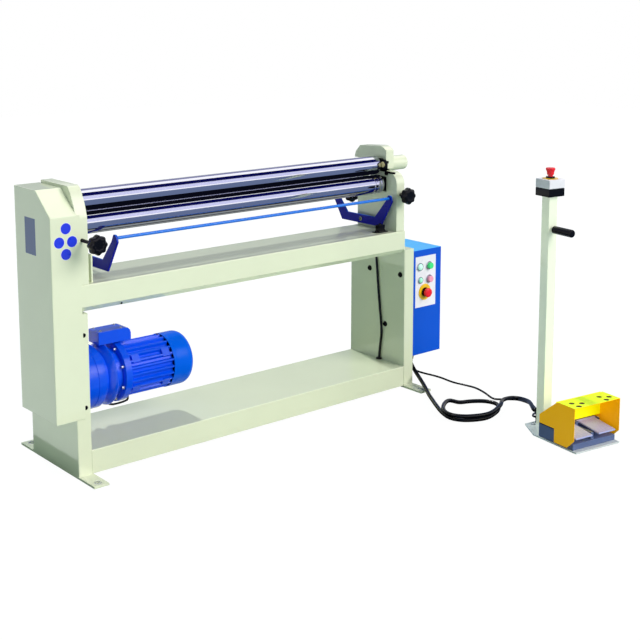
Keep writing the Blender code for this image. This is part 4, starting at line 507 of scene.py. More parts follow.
class Form:
    """A mesh while it is shaped, in the machine's frame."""

    def __init__(self) -> None:
        """Start with nothing."""
        self.mesh = bmesh.new()

    @classmethod
    def from_node(cls, node: str) -> "Form":
        """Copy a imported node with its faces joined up.

        Args:
            node: Name of the node.

        Returns:
            The copy as a form.
        """
        form = cls()
        form.mesh.from_mesh(frame["nodes"][node].data)
        bmesh.ops.translate(form.mesh, vec=-MACHINE, verts=form.mesh.verts)
        bmesh.ops.remove_doubles(form.mesh, verts=form.mesh.verts, dist=WELD)
        bmesh.ops.dissolve_limit(form.mesh, angle_limit=math.radians(FLAT_ANGLE),
                                 verts=form.mesh.verts, edges=form.mesh.edges)
        return form

    def loft(self, rings: Sequence[Sequence[Vector]], hollow: bool = False) -> "Form":
        """Skin a row of closed rings.

        Args:
            rings: Rings of equally many points.
            hollow: Whether the last ring joins the first, in place of two end faces.

        Returns:
            The form itself.
        """
        rows = [[self.mesh.verts.new(point) for point in ring] for ring in rings]
        pairs = list(zip(rows, rows[1:])) + ([(rows[-1], rows[0])] if hollow else [])
        for first, second in pairs:
            for corners in zip(first, first[1:] + first[:1], second[1:] + second[:1], second):
                self.mesh.faces.new(corners)
        if not hollow:
            self.mesh.faces.new(rows[0][::-1])
            self.mesh.faces.new(rows[-1])
        return self

    def turn(self, profile: Sequence[Pair], centre: Point, axis: Axis, sides: int,
             lobes: int = 0, lobe: float = 0.0, hollow: bool = False) -> "Form":
        """Turn a profile round an axis.

        Args:
            profile: Places along the axis and radii, from one end to the other.
            centre: Point on the axis from which the places count.
            axis: Direction of the axis.
            sides: Points round each ring.
            lobes: Waves round the rim.
            lobe: Share of the radius that a wave takes.
            hollow: Whether the profile closes on itself and leaves the middle open.

        Returns:
            The form itself.
        """
        along, up, across = axis.frame()
        middle = Vector(centre)
        angles = [FULL_TURN * step / sides for step in range(sides)]
        around = [(up * math.cos(angle) + across * math.sin(angle))
                  * (1 - lobe * (0.5 - 0.5 * math.cos(lobes * angle))) for angle in angles]
        return self.loft([[middle + along * place + way * radius for way in around]
                          for place, radius in profile], hollow)

    def ring(self, centre: Point, axis: Axis, start: float, end: float, inner: float,
             outer: float) -> "Form":
        """Add a flat ring with rounded rims.

        Args:
            centre: Point on the axis from which the places count.
            axis: Direction of the axis.
            start: Place of the ring's seat along the axis.
            end: Place of its free face.
            inner: Radius of its bore.
            outer: Radius of its rim.

        Returns:
            The form itself.
        """
        edge = (end - start) * RING_EDGE
        profile = [(start, inner), (start, outer), (end - edge, outer), (end, outer - abs(edge)),
                   (end, inner + abs(edge)), (end - edge, inner)]
        return self.turn(profile, centre, axis, RING_SIDES, hollow=True)

    def screws(self, places: Iterable[Point], axis: Axis, out: int, head: Head) -> "Form":
        """Add screw heads with their sockets, each on its washer.

        Args:
            places: Middle of each washer's lower face.
            axis: Direction of the screws.
            out: 1 or -1, the way that the heads stand along it.
            head: Radius, height with the washer, and sides of a head.

        Returns:
            The form itself.
        """
        radius, height, sides = head
        for centre in places:
            for rows, count in ((WASHER_ROWS, WASHER_SIDES), (HEAD_ROWS, sides)):
                self.turn([(out * height * rise, radius * share) for rise, share in rows],
                          centre, axis, count)
        return self

    def inlay(self, low: Point, high: Point, facing: Point) -> "Form":
        """Give the faces inside a box that look one way the piece's second finish.

        Args:
            low: Lowest corner of the box.
            high: Highest corner.
            facing: The way that the faces look.

        Returns:
            The form itself.
        """
        for corner in (low, high):
            for place in range(3):
                if not facing[place]:
                    normal = [float(place == other) for other in range(3)]
                    parts = self.mesh.verts[:] + self.mesh.edges[:] + self.mesh.faces[:]
                    bmesh.ops.bisect_plane(self.mesh, geom=parts, plane_co=corner, plane_no=normal)
        self.mesh.normal_update()
        for face in self.mesh.faces:
            middle = face.calc_center_median()
            if face.normal.dot(Vector(facing)) > FACING and all(
                    a - WELD < b < c + WELD for a, b, c in zip(low, middle, high)):
                face.material_index = 1
        return self

    def prism(self, outline: Sequence[Pair], axis: Axis, start: float, end: float) -> "Form":
        """Raise an outline, given across the axis, into a plate between two places along it."""
        along, up, across = axis.frame()
        return self.loft([[along * place + up * a + across * b for a, b in outline]
                          for place in (start, end)])

    def block(self, low: Point, high: Point) -> "Form":
        """Add a block between two corners."""
        return self.prism([(low[1], low[2]), (high[1], low[2]), (high[1], high[2]),
                           (low[1], high[2])], Axis.X, low[0], high[0])

    def tube(self, route: Sequence[Vector], radius: float, sides: int) -> "Form":
        """Run a round section along a route without twist.

        Args:
            route: Points of the middle line.
            radius: Radius of the section.
            sides: Points round it.

        Returns:
            The form itself.
        """
        ways = [(b - a).normalized() for a, b in zip(route, route[1:])]
        ways = [ways[0]] + [(a + b).normalized() for a, b in zip(ways, ways[1:])] + [ways[-1]]
        side = ways[0].orthogonal().normalized()
        rings = []
        for point, way in zip(route, ways):
            side = (side - way * side.dot(way)).normalized()
            other = way.cross(side)
            rings.append([point + (side * math.cos(a) + other * math.sin(a)) * radius
                          for a in (FULL_TURN * n / sides for n in range(sides))])
        return self.loft(rings)

    def soften(self, width: float, segments: int = 2, angle: float = 35.0,
               where: Test | None = None) -> "Form":
        """Round the sharp edges.

        Args:
            width: Width that the rounding takes on each face.
            segments: Faces across it.
            angle: Least angle of a sharp edge, in degrees.
            where: Test of an edge's middle.

        Returns:
            The form itself.
        """
        self.mesh.normal_update()
        picked = [edge for edge in self.mesh.edges
                  if len(edge.link_faces) == 2 and edge.calc_face_angle(0) > math.radians(angle)
                  and (where is None or where((edge.verts[0].co + edge.verts[1].co) / 2))]
        if picked:
            bmesh.ops.bevel(self.mesh, geom=picked, offset=width, offset_type="OFFSET",
                            segments=segments, profile=0.5, affect="EDGES",
                            clamp_overlap=False)
        return self

    def on_stand(self) -> "Form":
        """Move the form from the pedal stand's own frame to the machine's."""
        bmesh.ops.transform(self.mesh, matrix=STAND, verts=self.mesh.verts)
        return self

    def piece(self, name: str, finish: Finish, rider: str, stands_for: Iterable[str] = (),
              smooth: float = 38.0, inlaid: Finish | None = None) -> bpy.types.Object:
        """Close the mesh and hang it on a body.

        Args:
            name: Name of the piece.
            finish: What it is dressed in.
            rider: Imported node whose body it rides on.
            stands_for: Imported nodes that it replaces.
            smooth: Angle up to which faces shade as one, in degrees.
            inlaid: Finish of the faces that inlay() picked.

        Returns:
            The piece.
        """
        bmesh.ops.recalc_face_normals(self.mesh, faces=self.mesh.faces)
        bmesh.ops.translate(self.mesh, vec=MACHINE, verts=self.mesh.verts)
        for face in self.mesh.faces:
            face.smooth = True
        for edge in self.mesh.edges:
            if len(edge.link_faces) == 2:
                edge.smooth = edge.calc_face_angle(0) < math.radians(smooth)
        mesh = bpy.data.meshes.new(name)
        self.mesh.to_mesh(mesh)
        self.mesh.free()
        for coat in (finish, inlaid):
            if coat:
                mesh.materials.append(coat.material())
        piece = bpy.data.objects.new(name, mesh)
        bpy.context.scene.collection.objects.link(piece)
        piece.modifiers.new("even_shading", "WEIGHTED_NORMAL").keep_sharp = True
        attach(piece, carrier(rider))
        if stands_for:
            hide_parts(*stands_for)
        log.info("%s: %d faces, %s", name, len(mesh.polygons), finish.name)
        return piece


def dress(node: str, finish: Finish, width: float = 0.0,
          bends: Sequence[tuple[float, Test]] = ()) -> None:
    """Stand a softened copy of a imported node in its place.

    Args:
        node: Name of the node.
        finish: What the copy is dressed in.
        width: Rounding of its sharp edges.
        bends: Larger roundings and the test of the edges that they take.
    """
    form = Form.from_node(node)
    for bend, where in bends:
        form.soften(bend, BEND_STEPS, where=where)
    if width:
        form.soften(width)
    form.piece(f"dressed_{node}", finish, node, [node])


Plan = tuple[tuple[Finish, float, tuple[str, ...]], ...]


def dress_all(plan: Plan) -> None:
    """Dress the nodes of a plan.

    Args:
        plan: Rows of a finish, the rounding of the sharp edges and the nodes that take both.
    """
    for finish, width, nodes in plan:
        for node in nodes:
            dress(node, finish, width)


@dataclass
class Camera:
    """The photographer's place."""

    place: Triple = (-2.674, -3.1982, 1.5955)
    yaw: float = 40.011
    pitch: float = -8.515
    roll: float = -0.031
    lens: float = 67.735
    sensor: float = 36.0
    shift: float = -0.22

    def build(self) -> None:
        """Make the camera and hand it to the scene."""
        yaw, pitch, roll = (math.radians(angle) for angle in (self.yaw, self.pitch, self.roll))
        ahead = Vector((math.sin(yaw) * math.cos(pitch), math.cos(yaw) * math.cos(pitch),
                        math.sin(pitch)))
        right = ahead.cross(Vector((0, 0, 1))).normalized()
        up = right.cross(ahead)
        level = right * math.cos(roll) + up * math.sin(roll)
        rise = up * math.cos(roll) - right * math.sin(roll)
        data = bpy.data.cameras.new("camera")
        data.lens, data.sensor_width, data.shift_y = self.lens, self.sensor, self.shift
        camera = bpy.data.objects.new("camera", data)
        turn = Matrix((level, rise, -ahead)).transposed().to_4x4()
        camera.matrix_world = Matrix.Translation(self.place) @ turn
        bpy.context.scene.collection.objects.link(camera)
        bpy.context.scene.camera = camera
        log.info("camera at %s", self.place)


@dataclass
class Studio:
    """Pale floor, white surroundings, two suns and cards that only mirrors see, some of them
    painted shade and painted streaks.
    """

    floor_half: float = 12.0
    floor_drop: float = 0.0005
    floor_white: float = 1.09
    floor_tint: Colour = (0.48, 0.60, 0.56)
    white_share: float = 0.89
    sky: float = 0.30
    sky_tint: Colour = (0.86, 1.0, 0.98)
    # Name, strength, apparent width in degrees, way to it and tint of each sun
    suns: tuple[tuple[str, float, float, Triple, Colour], ...] = (
        ("key", 2.85, 40.0, (0.30, -0.86, 0.50), (1.0, 0.91, 0.90)),
        ("top", 1.5, 3.0, (0.12, 0.58, 1.0), PURE_WHITE))
    roll_middle: Triple = (0.76, 0.12, 0.88)
    card_reach: float = 8.0
    card_gain: float = 1.75
    # Elevation of both edges from the rolls in degrees, 0 in front, distance and colour
    cards: tuple[tuple[float, float, float, Colour], ...] = (
        (-2.0, 3.0, 3.2, srgb(104, 118, 150)), (3.0, 13.0, 3.2, PURE_WHITE),
        (13.0, 46.0, 3.2, srgb(202, 204, 232)), (46.0, 84.0, 3.2, srgb(3, 8, 72)),
        (84.0, 118.0, 3.2, PURE_WHITE), (118.0, 156.0, 3.2, srgb(128, 130, 160)),
        (166.0, 181.0, 3.6, srgb(96, 106, 112)))
    steel: Colour = srgb(98, 112, 142)
    # Painted shade that only mirrors see, for the card under the machine and the strip in the pinch
    painted_shade: Colour = srgb(8, 10, 20)
    # Opposite corners of the cards on the floor, and of the one in front of the machine; the card
    # under the machine is painted shade
    far_card: tuple[Triple, Triple] = ((-0.08, -25.0, 0.0005), (26.0, -0.62, 0.0005))
    under_shade_card: tuple[Triple, Triple] = ((-0.08, -0.62, 0.0005), (26.0, 2.2, 0.0005))
    front_card: tuple[Triple, Triple] = ((0.30, -0.45, 0.0), (2.60, -0.45, 0.56))
    # Reach of the painted shade strip from the pinch towards the front
    pinch_shade_reach: float = 0.036
    # Card over the tray that only mirrors see: black streaks painted into the tray's reflection,
    # their middles and half widths as shares of its depth
    tray_card: tuple[Triple, Triple] = ((0.12, 0.0, 0.672), (1.44, 0.290, 0.672))
    tray_pale: Colour = (0.42, 0.45, 0.43)
    tray_painted_dark: Colour = (0.02, 0.03, 0.03)
    tray_painted_streaks: tuple[Pair, ...] = ((0.33, 0.035), (0.74, 0.015))
    tray_blur: float = 0.07

    def build(self) -> None:
        """Set up the surroundings, floor, suns and cards."""
        bpy.context.scene.view_settings.view_transform = "Standard"
        self.surroundings()
        self.floor()
        self.lights()
        self.round_cards()
        # The card under the machine paints the shade beneath it into reflections
        for name, card, colour in (("far", self.far_card, self.steel),
                                   ("under", self.under_shade_card, self.painted_shade),
                                   ("front", self.front_card, self.steel)):
            self.mirrored(f"card_{name}", *card, colour)
        self.painted_pinch_shade()
        self.painted_tray_reflection()

    def surroundings(self) -> None:
        """Make the world white to the eye and to mirrors, softer as a light."""
        bpy.context.scene.world = bpy.data.worlds.new("surroundings")
        shade = Shade(bpy.context.scene.world)
        seen = shade.seen()
        shade.close("ShaderNodeBackground", {
            "Color": shade.mix(seen, self.sky_tint, PURE_WHITE),
            "Strength": seen * (1 - self.sky) + self.sky})

    def floor(self) -> None:
        """Lay the floor, white to the eye but for the machine's shadow."""
        shade = Shade.named("pale_floor")
        plain = shade.value("ShaderNodeBsdfDiffuse", {"Color": self.floor_tint})
        white = shade.value("ShaderNodeEmission", {"Color": PURE_WHITE,
                                                   "Strength": self.floor_white})
        shade.close("ShaderNodeMixShader", {0: shade.seen() * self.white_share, 1: plain,
                                            2: white})
        half, drop = self.floor_half, -self.floor_drop
        self.sheet("floor", (-half, -half, drop), (half, half, drop), shade.owner)

    def lights(self) -> None:
        """Hang the suns."""
        for name, strength, angle, source, tint in self.suns:
            data = bpy.data.lights.new(name, "SUN")
            data.energy, data.color, data.angle = strength, tint, math.radians(angle)
            sun = bpy.data.objects.new(name, data)
            sun.rotation_mode = "QUATERNION"
            sun.rotation_quaternion = Vector(source).to_track_quat("Z", "Y")
            bpy.context.scene.collection.objects.link(sun)

    def sheet(self, name: str, low: Point, high: Point,
              material: bpy.types.Material) -> bpy.types.Object:
        """Add a flat sheet that isn't part of the machine, level along x.

        Args:
            name: Its name.
            low: Its first corner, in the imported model's frame.
            high: The corner opposite.
            material: Its material.

        Returns:
            The sheet.
        """
        (x0, y0, z0), (x1, y1, z1) = low, high
        mesh = bpy.data.meshes.new(name)
        mesh.from_pydata([(x0, y0, z0), (x1, y0, z0), (x1, y1, z1), (x0, y1, z1)], [],
                         [(0, 1, 2, 3)])
        mesh.materials.append(material)
        sheet = bpy.data.objects.new(name, mesh)
        bpy.context.scene.collection.objects.link(sheet)
        return sheet

    def card(self, name: str, low: Point, high: Point, material: bpy.types.Material) -> None:
        """Hang a sheet that only mirrors see.

        Args:
            name: Its name.
            low: Its first corner, in the machine's frame.
            high: The corner opposite.
            material: Its material.
        """
        card = self.sheet(name, Vector(low) + MACHINE, Vector(high) + MACHINE, material)
        for ray in ("camera", "diffuse", "shadow", "transmission"):
            setattr(card, f"visible_{ray}", False)

    def mirrored(self, name: str, low: Point, high: Point, colour: Colour) -> None:
        """Hang a card that glows in one colour.

        Args:
            name: Its name.
            low: Its first corner, in the machine's frame.
            high: The corner opposite.
            colour: Its colour.
        """
        shade = Shade.named(name)
        glow = shade.close("ShaderNodeEmission", {"Color": colour, "Strength": self.card_gain})
        self.card(name, low, high, glow)

    def round_cards(self) -> None:
        """Hang the cards that stand round the rolls, from the front over the top to the back."""
        for number, (low, high, distance, colour) in enumerate(self.cards):
            corners = []
            for angle, reach in ((low, -self.card_reach), (high, self.card_reach)):
                rise = math.radians(angle)
                corners.append(Vector(self.roll_middle) + Vector(
                    (reach, -math.cos(rise) * distance, math.sin(rise) * distance)))
            self.mirrored(f"card_{number}", *corners, colour)

    def painted_pinch_shade(self) -> None:
        """Lay a black strip along the tangent plane between the pinch rolls, painted shade that
        only mirrors see.
        """
        lower, upper = middle_of("lower_roll"), middle_of("top_roll")
        middle, between = (upper + lower) / 2, upper - lower
        ahead = Vector((0.0, -between.z, between.y)).normalized() * self.pinch_shade_reach
        start, end = (Vector((x, middle.y, middle.z)) for x in (Rolls.start, Rolls.end))
        self.mirrored("card_pinch_painted_shade", start, end + ahead, self.painted_shade)

    def painted_tray_reflection(self) -> None:
        """Hang a card over the tray, clear from below, that paints black streaks into the tray's
        reflection.
        """
        shade = Shade.named("card_tray_painted_reflection")
        stops = [(0.0, self.tray_pale)]
        for middle, half in self.tray_painted_streaks:
            stops += [(middle - half - self.tray_blur, self.tray_pale),
                      (middle - half, self.tray_painted_dark), (middle + half, self.tray_painted_dark),
                      (middle + half + self.tray_blur, self.tray_pale)]
        place = shade.value("ShaderNodeTexCoord", output="Generated")
        share = shade.value("ShaderNodeSeparateXYZ", {0: place}, "Y")
        streaks = shade.value("ShaderNodeValToRGB", {0: share}, stops=stops)
        self.card("card_tray_painted_reflection", *self.tray_card, shade.close("ShaderNodeMixShader", {
            0: shade.value("ShaderNodeNewGeometry", output="Backfacing"),
            1: shade.value("ShaderNodeEmission", {"Color": streaks}),
            2: shade.value("ShaderNodeBsdfTransparent")}))


@dataclass
class Cable:
    """A cable on its route: straight out of one gland, over the floor, into the other."""

    name: str
    node: str
    radius: float
    knots: Sequence[Point]
    steps: int = 6
    sides: int = 20

    def route(self) -> list[Vector]:
        """Run a smooth line through the knots, nowhere under the floor.

        Returns:
            Its points.
        """
        held = [Vector(knot) for knot in self.knots]
        ends = [2 * held[0] - held[1]] + held + [2 * held[-1] - held[-2]]
        points = []
        for a, b, c, d in zip(ends, ends[1:], ends[2:], ends[3:]):
            for t in (step / self.steps for step in range(self.steps)):
                points.append(0.5 * (2 * b + (c - a) * t + (2 * a - 5 * b + 4 * c - d) * t * t
                                     + (3 * b - a - 3 * c + d) * t ** 3))
        points.append(held[-1])
        return [Vector((point.x, point.y, max(point.z, self.radius))) for point in points]

    def build(self) -> None:
        """Make the cable."""
        route = self.route()
        piece = Form().tube(route, self.radius, self.sides).piece(
            self.name, Finish.SHEATH, self.node, [self.node])
        2 * self.radius


@dataclass
class Cables:
    """The two cables from the electric box to the pedal stand.

    The knots are in the machine's frame, those of the mouths in the stand's own.
    """

    thick: float = 0.008
    thin: float = 0.004
    pedal_knots: tuple[Triple, ...] = (
        (1.5836, 0.0355, 0.0997), (1.5836, 0.0355, 0.0917), (1.5836, 0.0355, 0.0837),
        (1.579, 0.006, 0.058), (1.548, -0.078, 0.024), (1.500, -0.160, 0.008),
        (1.440, -0.255, 0.008), (1.392, -0.340, 0.008), (1.376, -0.402, 0.008),
        (1.404, -0.452, 0.008), (1.471, -0.484, 0.008), (1.536, -0.474, 0.008),
        (1.596, -0.444, 0.008), (1.632, -0.400, 0.008), (1.622, -0.352, 0.008),
        (1.580, -0.316, 0.008), (1.530, -0.298, 0.010), (1.474, -0.292, 0.028),
        (1.418, -0.318, 0.028), (1.372, -0.368, 0.028), (1.364, -0.420, 0.028),
        (1.400, -0.468, 0.028), (1.482, -0.496, 0.028), (1.580, -0.464, 0.028),
        (1.640, -0.426, 0.028), (1.694, -0.420, 0.024), (1.712, -0.452, 0.026),
        (1.690, -0.512, 0.036), (1.652, -0.560, 0.044))
    pedal_mouth: tuple[Triple, ...] = (
        (0.1075, 0.3406, 0.046), (0.1075, 0.3286, 0.046), (0.1075, 0.3166, 0.046))
    stop_knots: tuple[Triple, ...] = (
        (1.6396, 0.170, 0.0997), (1.6396, 0.170, 0.0917), (1.6396, 0.170, 0.0837),
        (1.648, 0.150, 0.050), (1.682, 0.108, 0.014), (1.704, 0.060, 0.004),
        (1.713, -0.010, 0.004), (1.708, -0.090, 0.004), (1.719, -0.153, 0.004),
        (1.724, -0.205, 0.004), (1.708, -0.268, 0.004), (1.680, -0.340, 0.004),
        (1.700, -0.372, 0.004), (1.745, -0.420, 0.004), (1.736, -0.500, 0.004),
        (1.680, -0.562, 0.008), (1.634, -0.588, 0.016))
    stop_mouth: tuple[Triple, ...] = (
        (0.1015, 0.3366, 0.022), (0.1015, 0.3266, 0.022), (0.1015, 0.3166, 0.022))

    def build(self) -> None:
        """Lay both cables."""
        for name, radius, knots, mouth in (
                ("pedal", self.thick, self.pedal_knots, self.pedal_mouth),
                ("stop", self.thin, self.stop_knots, self.stop_mouth)):
            held = [*knots, *(STAND @ Vector(knot) for knot in mouth)]
            Cable(f"{name}_lead", f"{name}_cable", radius, held).build()


@dataclass
class FrameStand:
    """Legs, pan and beam of folded sheet, with their bolts."""

    depth: float = 0.330
    fold: float = 0.0045
    pan_fold: float = 0.0027
    beam_fold: float = 0.0036
    rim: float = 0.0008
    pan_top: float = 0.0915
    beam_top: float = 0.663
    beam_bottom: float = 0.570
    beam_depth: float = 0.236
    foot: float = 0.012
    web_bolts: tuple[Pair, ...] = ((0.210, 0.472), (0.025, 0.475), (0.113, 0.249))
    web_head: Head = (0.0085, 0.007, 24)
    cover_bolts: tuple[Triple, ...] = ((0.0345, 0.0, 0.4934), (0.0345, 0.0, 0.2440))
    cover_head: Head = (0.0055, 0.004, 24)
    lip_bolt: Triple = (0.1807, 0.0, 0.5794)
    lip_head: Head = (0.0028, 0.002, 6)
    # Distance of a foot's washer from the end, its seat, and its heights and radii
    washer_inset: float = 0.026
    washer_seat: float = 0.008
    washer: tuple[float, ...] = (0.0, 0.0018, 0.0072, 0.013)
    grommet_ring: tuple[float, ...] = (0.0004, 0.006, 0.0056, 0.013)

    def build(self) -> None:
        """Dress the sheets and add the bolts."""
        self.sheets()
        self.bolts()
        self.grommet()

    def sheets(self) -> None:
        """Round the folds of the legs, the pan and the beam."""
        for leg in ("left_leg", "right_leg"):
            web = span(leg)[0].x
            dress(leg, Finish.CREAM, self.rim, [(self.fold, lambda point, web=web: (
                point.z > self.foot and at_ends(point.y, 0.0, self.depth)
                and point.x - web < NEAR))])
        dress("base_pan", Finish.CREAM, self.rim, [(self.pan_fold, lambda point: (
            point.z > self.pan_top - NEAR and at_ends(point.y, 0.0, self.depth)))])
        dress("top_beam", Finish.CREAM, self.rim, [(self.beam_fold, lambda point: (
            at_ends(point.z, self.beam_bottom, self.beam_top)
            and at_ends(point.y, 0.0, self.beam_depth)))])

    def bolts(self) -> None:
        """Add the bolts of the legs, the cover and the beam's lip."""
        web = span("right_leg")[0].x
        Form().screws([(web, *place) for place in self.web_bolts], Axis.X, -1, self.web_head
                      ).piece("web_bolts", Finish.BLACK, "right_leg")
        Form().screws(self.cover_bolts, Axis.Y, -1, self.cover_head).screws(
            [self.lip_bolt], Axis.Y, -1, self.lip_head
        ).piece("front_bolts", Finish.BLACK, "left_leg")
        feet = Form()
        for leg in ("left_leg", "right_leg"):
            low, high = span(leg)
            for y in (low.y + self.washer_inset, high.y - self.washer_inset):
                feet.ring(((low.x + high.x) / 2, y, self.washer_seat), Axis.Z, *self.washer)
        feet.piece("foot_washers", Finish.BRIGHT_STEEL, "right_leg")

    def grommet(self) -> None:
        """Add the rubber grommet where the cable enters the pan."""
        form = Form.from_node("leg_cable")
        low = min(vert.co.z for vert in form.mesh.verts)
        foot = [vert.co for vert in form.mesh.verts if vert.co.z < low + NEAR]
        middle = sum(foot, Vector()) / len(foot)
        form.mesh.free()
        Form().ring((middle.x, middle.y, self.pan_top), Axis.Z, *self.grommet_ring
                    ).piece("pan_grommet", Finish.RUBBER, "base_pan")


@dataclass
class Housings:
    """Roll housings, the hinged cap, its pin, latch and lever."""

    plan: Plan = ((Finish.CREAM_CAST, 0.0014, ("left_housing", "right_housing")),
                  (Finish.CREAM_CAST, 0.0030, ("top_roll_cap",)),
                  (Finish.BRIGHT_STEEL, 0.0005, ("cap_hinge_pin",)),
                  (Finish.BLACK, 0.0008, ("release_lever",)))
    latch: tuple[Pair, ...] = ((0.046, 0.912), (0.060, 0.904), (0.088, 0.904), (0.088, 0.944),
                               (0.080, 0.952), (0.056, 0.952), (0.046, 0.942))
    latch_x: Pair = (1.4470, 1.4524)
    latch_rim: float = 0.001
    tongue: tuple[Triple, Triple] = ((1.4514, 0.048, 0.938), (1.4590, 0.060, 0.948))
    boss: Triple = (1.4470, 0.069, 0.932)
    boss_rows: tuple[Pair, ...] = ((0.0, 0.012), (-0.0022, 0.012), (-0.0032, 0.0108),
                                   (-0.0032, 0.0036), (-0.0022, 0.0024))
    boss_sides: int = 40
    side_screws: tuple[Triple, ...] = ((1.5025, 0.150, 0.735), (1.5025, 0.060, 0.735))
    side_head: Head = (0.006, 0.005, 6)

    def build(self) -> None:
        """Dress the castings and add the latch and the screws of the right one."""
        dress_all(self.plan)
        Form().prism(self.latch, Axis.X, *self.latch_x).soften(self.latch_rim).block(
            *self.tongue).piece("cap_latch", Finish.BLACK, "top_roll_cap")
        Form().turn(self.boss_rows, self.boss, Axis.X, self.boss_sides
                    ).piece("latch_boss", Finish.BRASS, "top_roll_cap")
        Form().screws(self.side_screws, Axis.X, 1, self.side_head
                      ).piece("housing_screws", Finish.BLACK_IRON, "right_housing")


@dataclass
class Rolls:
    """The three ground rolls with their journals, blocks and bearings."""

    radius: float = 0.038
    journal: float = 0.016
    chamfer: float = 0.0015
    start: float = 0.0635
    end: float = 1.442
    sides: int = 96
    # Distance from the right end and radius of each wire groove
    grooves: tuple[Pair, ...] = ((0.014, 0.0028), (0.030, 0.0036), (0.049, 0.0046))
    groove_steps: int = 8
    grooved: tuple[str, ...] = ("lower_roll", "rear_roll")
    sleeve_room: float = 0.0004
    sleeve_edge: float = 0.003
    sleeve_bend: float = 0.0009
    sleeve_sides: int = 72
    collar_room: float = 0.0002
    # Name, finish, distance of both faces from the roll's end and radius of each collar
    collars: tuple[tuple[str, Finish, float, float, float], ...] = (
        ("collar", Finish.BLACK, 0.0005, 0.009, 0.0275),
        ("spacer", Finish.SHAFT_STEEL, 0.0095, 0.0150, 0.0205))
    plan: Plan = ((Finish.BLACK_IRON, 0.0010, ("top_bearing_block",)),
                  (Finish.BLACK_IRON, 0.0005, ("left_pivot_bearing",)),
                  (Finish.BLACK_IRON, 0.0010, ("left_pinch_block", "right_pinch_block",
                                               "left_rear_block", "right_rear_block")))

    def build(self) -> None:
        """Turn the rolls, the sleeve and the collars, and dress the blocks."""
        for node in ("top_roll", *self.grooved):
            low, high = span(node)
            Form().turn(self.profile(low.x, high.x, node in self.grooved), shaft_of(node),
                        Axis.X, self.sides).piece(f"turned_{node}", Finish.ROLL_STEEL, node, [node])
        self.sleeve()
        for node in self.grooved:
            for name, finish, start, end, outer in self.collars:
                Form().ring(shaft_of(node), Axis.X, self.end + start, self.end + end,
                            self.journal + self.collar_room, outer
                            ).piece(f"{node}_{name}", finish, node)
        dress_all(self.plan)

    def profile(self, low: float, high: float, grooved: bool) -> list[Pair]:
        """Lay out a roll's profile.

        Args:
            low: Place of the left journal's end.
            high: Place of the right journal's end.
            grooved: Whether the roll has the wire grooves.

        Returns:
            Places along the roll and radii.
        """
        rim, neck = self.radius - self.chamfer, self.journal - self.chamfer
        turned = [(low, neck), (low + self.chamfer, self.journal), (self.start, self.journal),
                  (self.start, rim), (self.start + self.chamfer, self.radius)]
        for inset, depth in (reversed(self.grooves) if grooved else ()):
            for step in range(self.groove_steps + 1):
                angle = math.pi * step / self.groove_steps
                turned.append((self.end - inset - depth * math.cos(angle),
                               self.radius - depth * math.sin(angle)))
        return turned + [(self.end - self.chamfer, self.radius), (self.end, rim),
                         (self.end, self.journal), (high - self.chamfer, self.journal),
                         (high, neck)]

    def sleeve(self) -> None:
        """Turn the sleeve over the top roll's tail, with rounded rims."""
        low, high = span("tail_sleeve")
        outer, inner = (high.z - low.z) / 2, self.journal + self.sleeve_room
        edge, bend = self.sleeve_edge, self.sleeve_bend
        Form().turn([(low.x, inner), (low.x, outer), (high.x - edge, outer),
                     (high.x - bend, outer - bend), (high.x, outer - edge), (high.x, inner)],
                    shaft_of("tail_sleeve"), Axis.X, self.sleeve_sides, hollow=True
                    ).piece("turned_tail_sleeve", Finish.CREAM_CAST, "tail_sleeve",
                            ["tail_sleeve"])


@dataclass
class Drive:
    """Gears, sprockets and chain under the cover at the left end, and the cover."""

    plan: Plan = ((Finish.GEAR_STEEL, 0.0003, ("top_gear", "lower_gear")),
                  (Finish.CHAIN_STEEL, 0.0002, ("driven_sprocket", "motor_sprocket")),
                  (Finish.CHAIN_STEEL, 0.0, ("drive_chain",)))
    # Width, faces across it and least angle of the rounding of each fold
    side_fold: tuple[float, int, float] = (0.0035, BEND_STEPS, 30.0)
    front_fold: tuple[float, int, float] = (0.00175, 3, 30.0)
    side: float = -0.0773
    front: float = -0.0045
    front_end: float = 0.016
    plate_low: Pair = (0.0995, 0.7611)
    plate_high: Pair = (0.1740, 0.8843)
    plate_reach: float = 0.001
    discs: tuple[Pair, ...] = (
        (-0.0217, 0.8608), (-0.0468, 0.8167), (-0.0003, 0.8154), (-0.0230, 0.7759))
    # Name, finish, and the heights and radii of each layer of a disc
    layers: tuple[tuple[str, Finish, tuple[Pair, Pair]], ...] = (
        ("disc_rims", Finish.WHITE, ((0.0, 0.0197), (-0.0004, 0.0197))),
        ("plain_discs", Finish.DISC_BLUE, ((-0.0004, 0.018321), (-0.0007, 0.018124))))

    def build(self) -> None:
        """Dress the drive and its cover, then stick the plain discs on the front."""
        dress_all(self.plan)
        self.cover()
        for name, finish, profile in self.layers:
            form = Form()
            for x, z in self.discs:
                form.turn(profile, (x, self.front, z), Axis.Y, RING_SIDES)
            form.piece(name, finish, "gear_cover")

    def cover(self) -> None:
        """Round the cover's folds and let a plain blue plate into its side."""
        form = Form.from_node("gear_cover")
        form.soften(*self.side_fold, lambda point: point.x - self.side < NEAR)
        form.soften(*self.front_fold,
                    lambda point: point.y - self.front < NEAR and point.x < self.front_end)
        form.inlay((self.side - self.plate_reach, *self.plate_low),
                   (self.side + self.plate_reach, *self.plate_high), (-1.0, 0.0, 0.0))
        form.piece("dressed_gear_cover", Finish.CREAM, "gear_cover", ["gear_cover"],
                   inlaid=Finish.PLATE_BLUE)


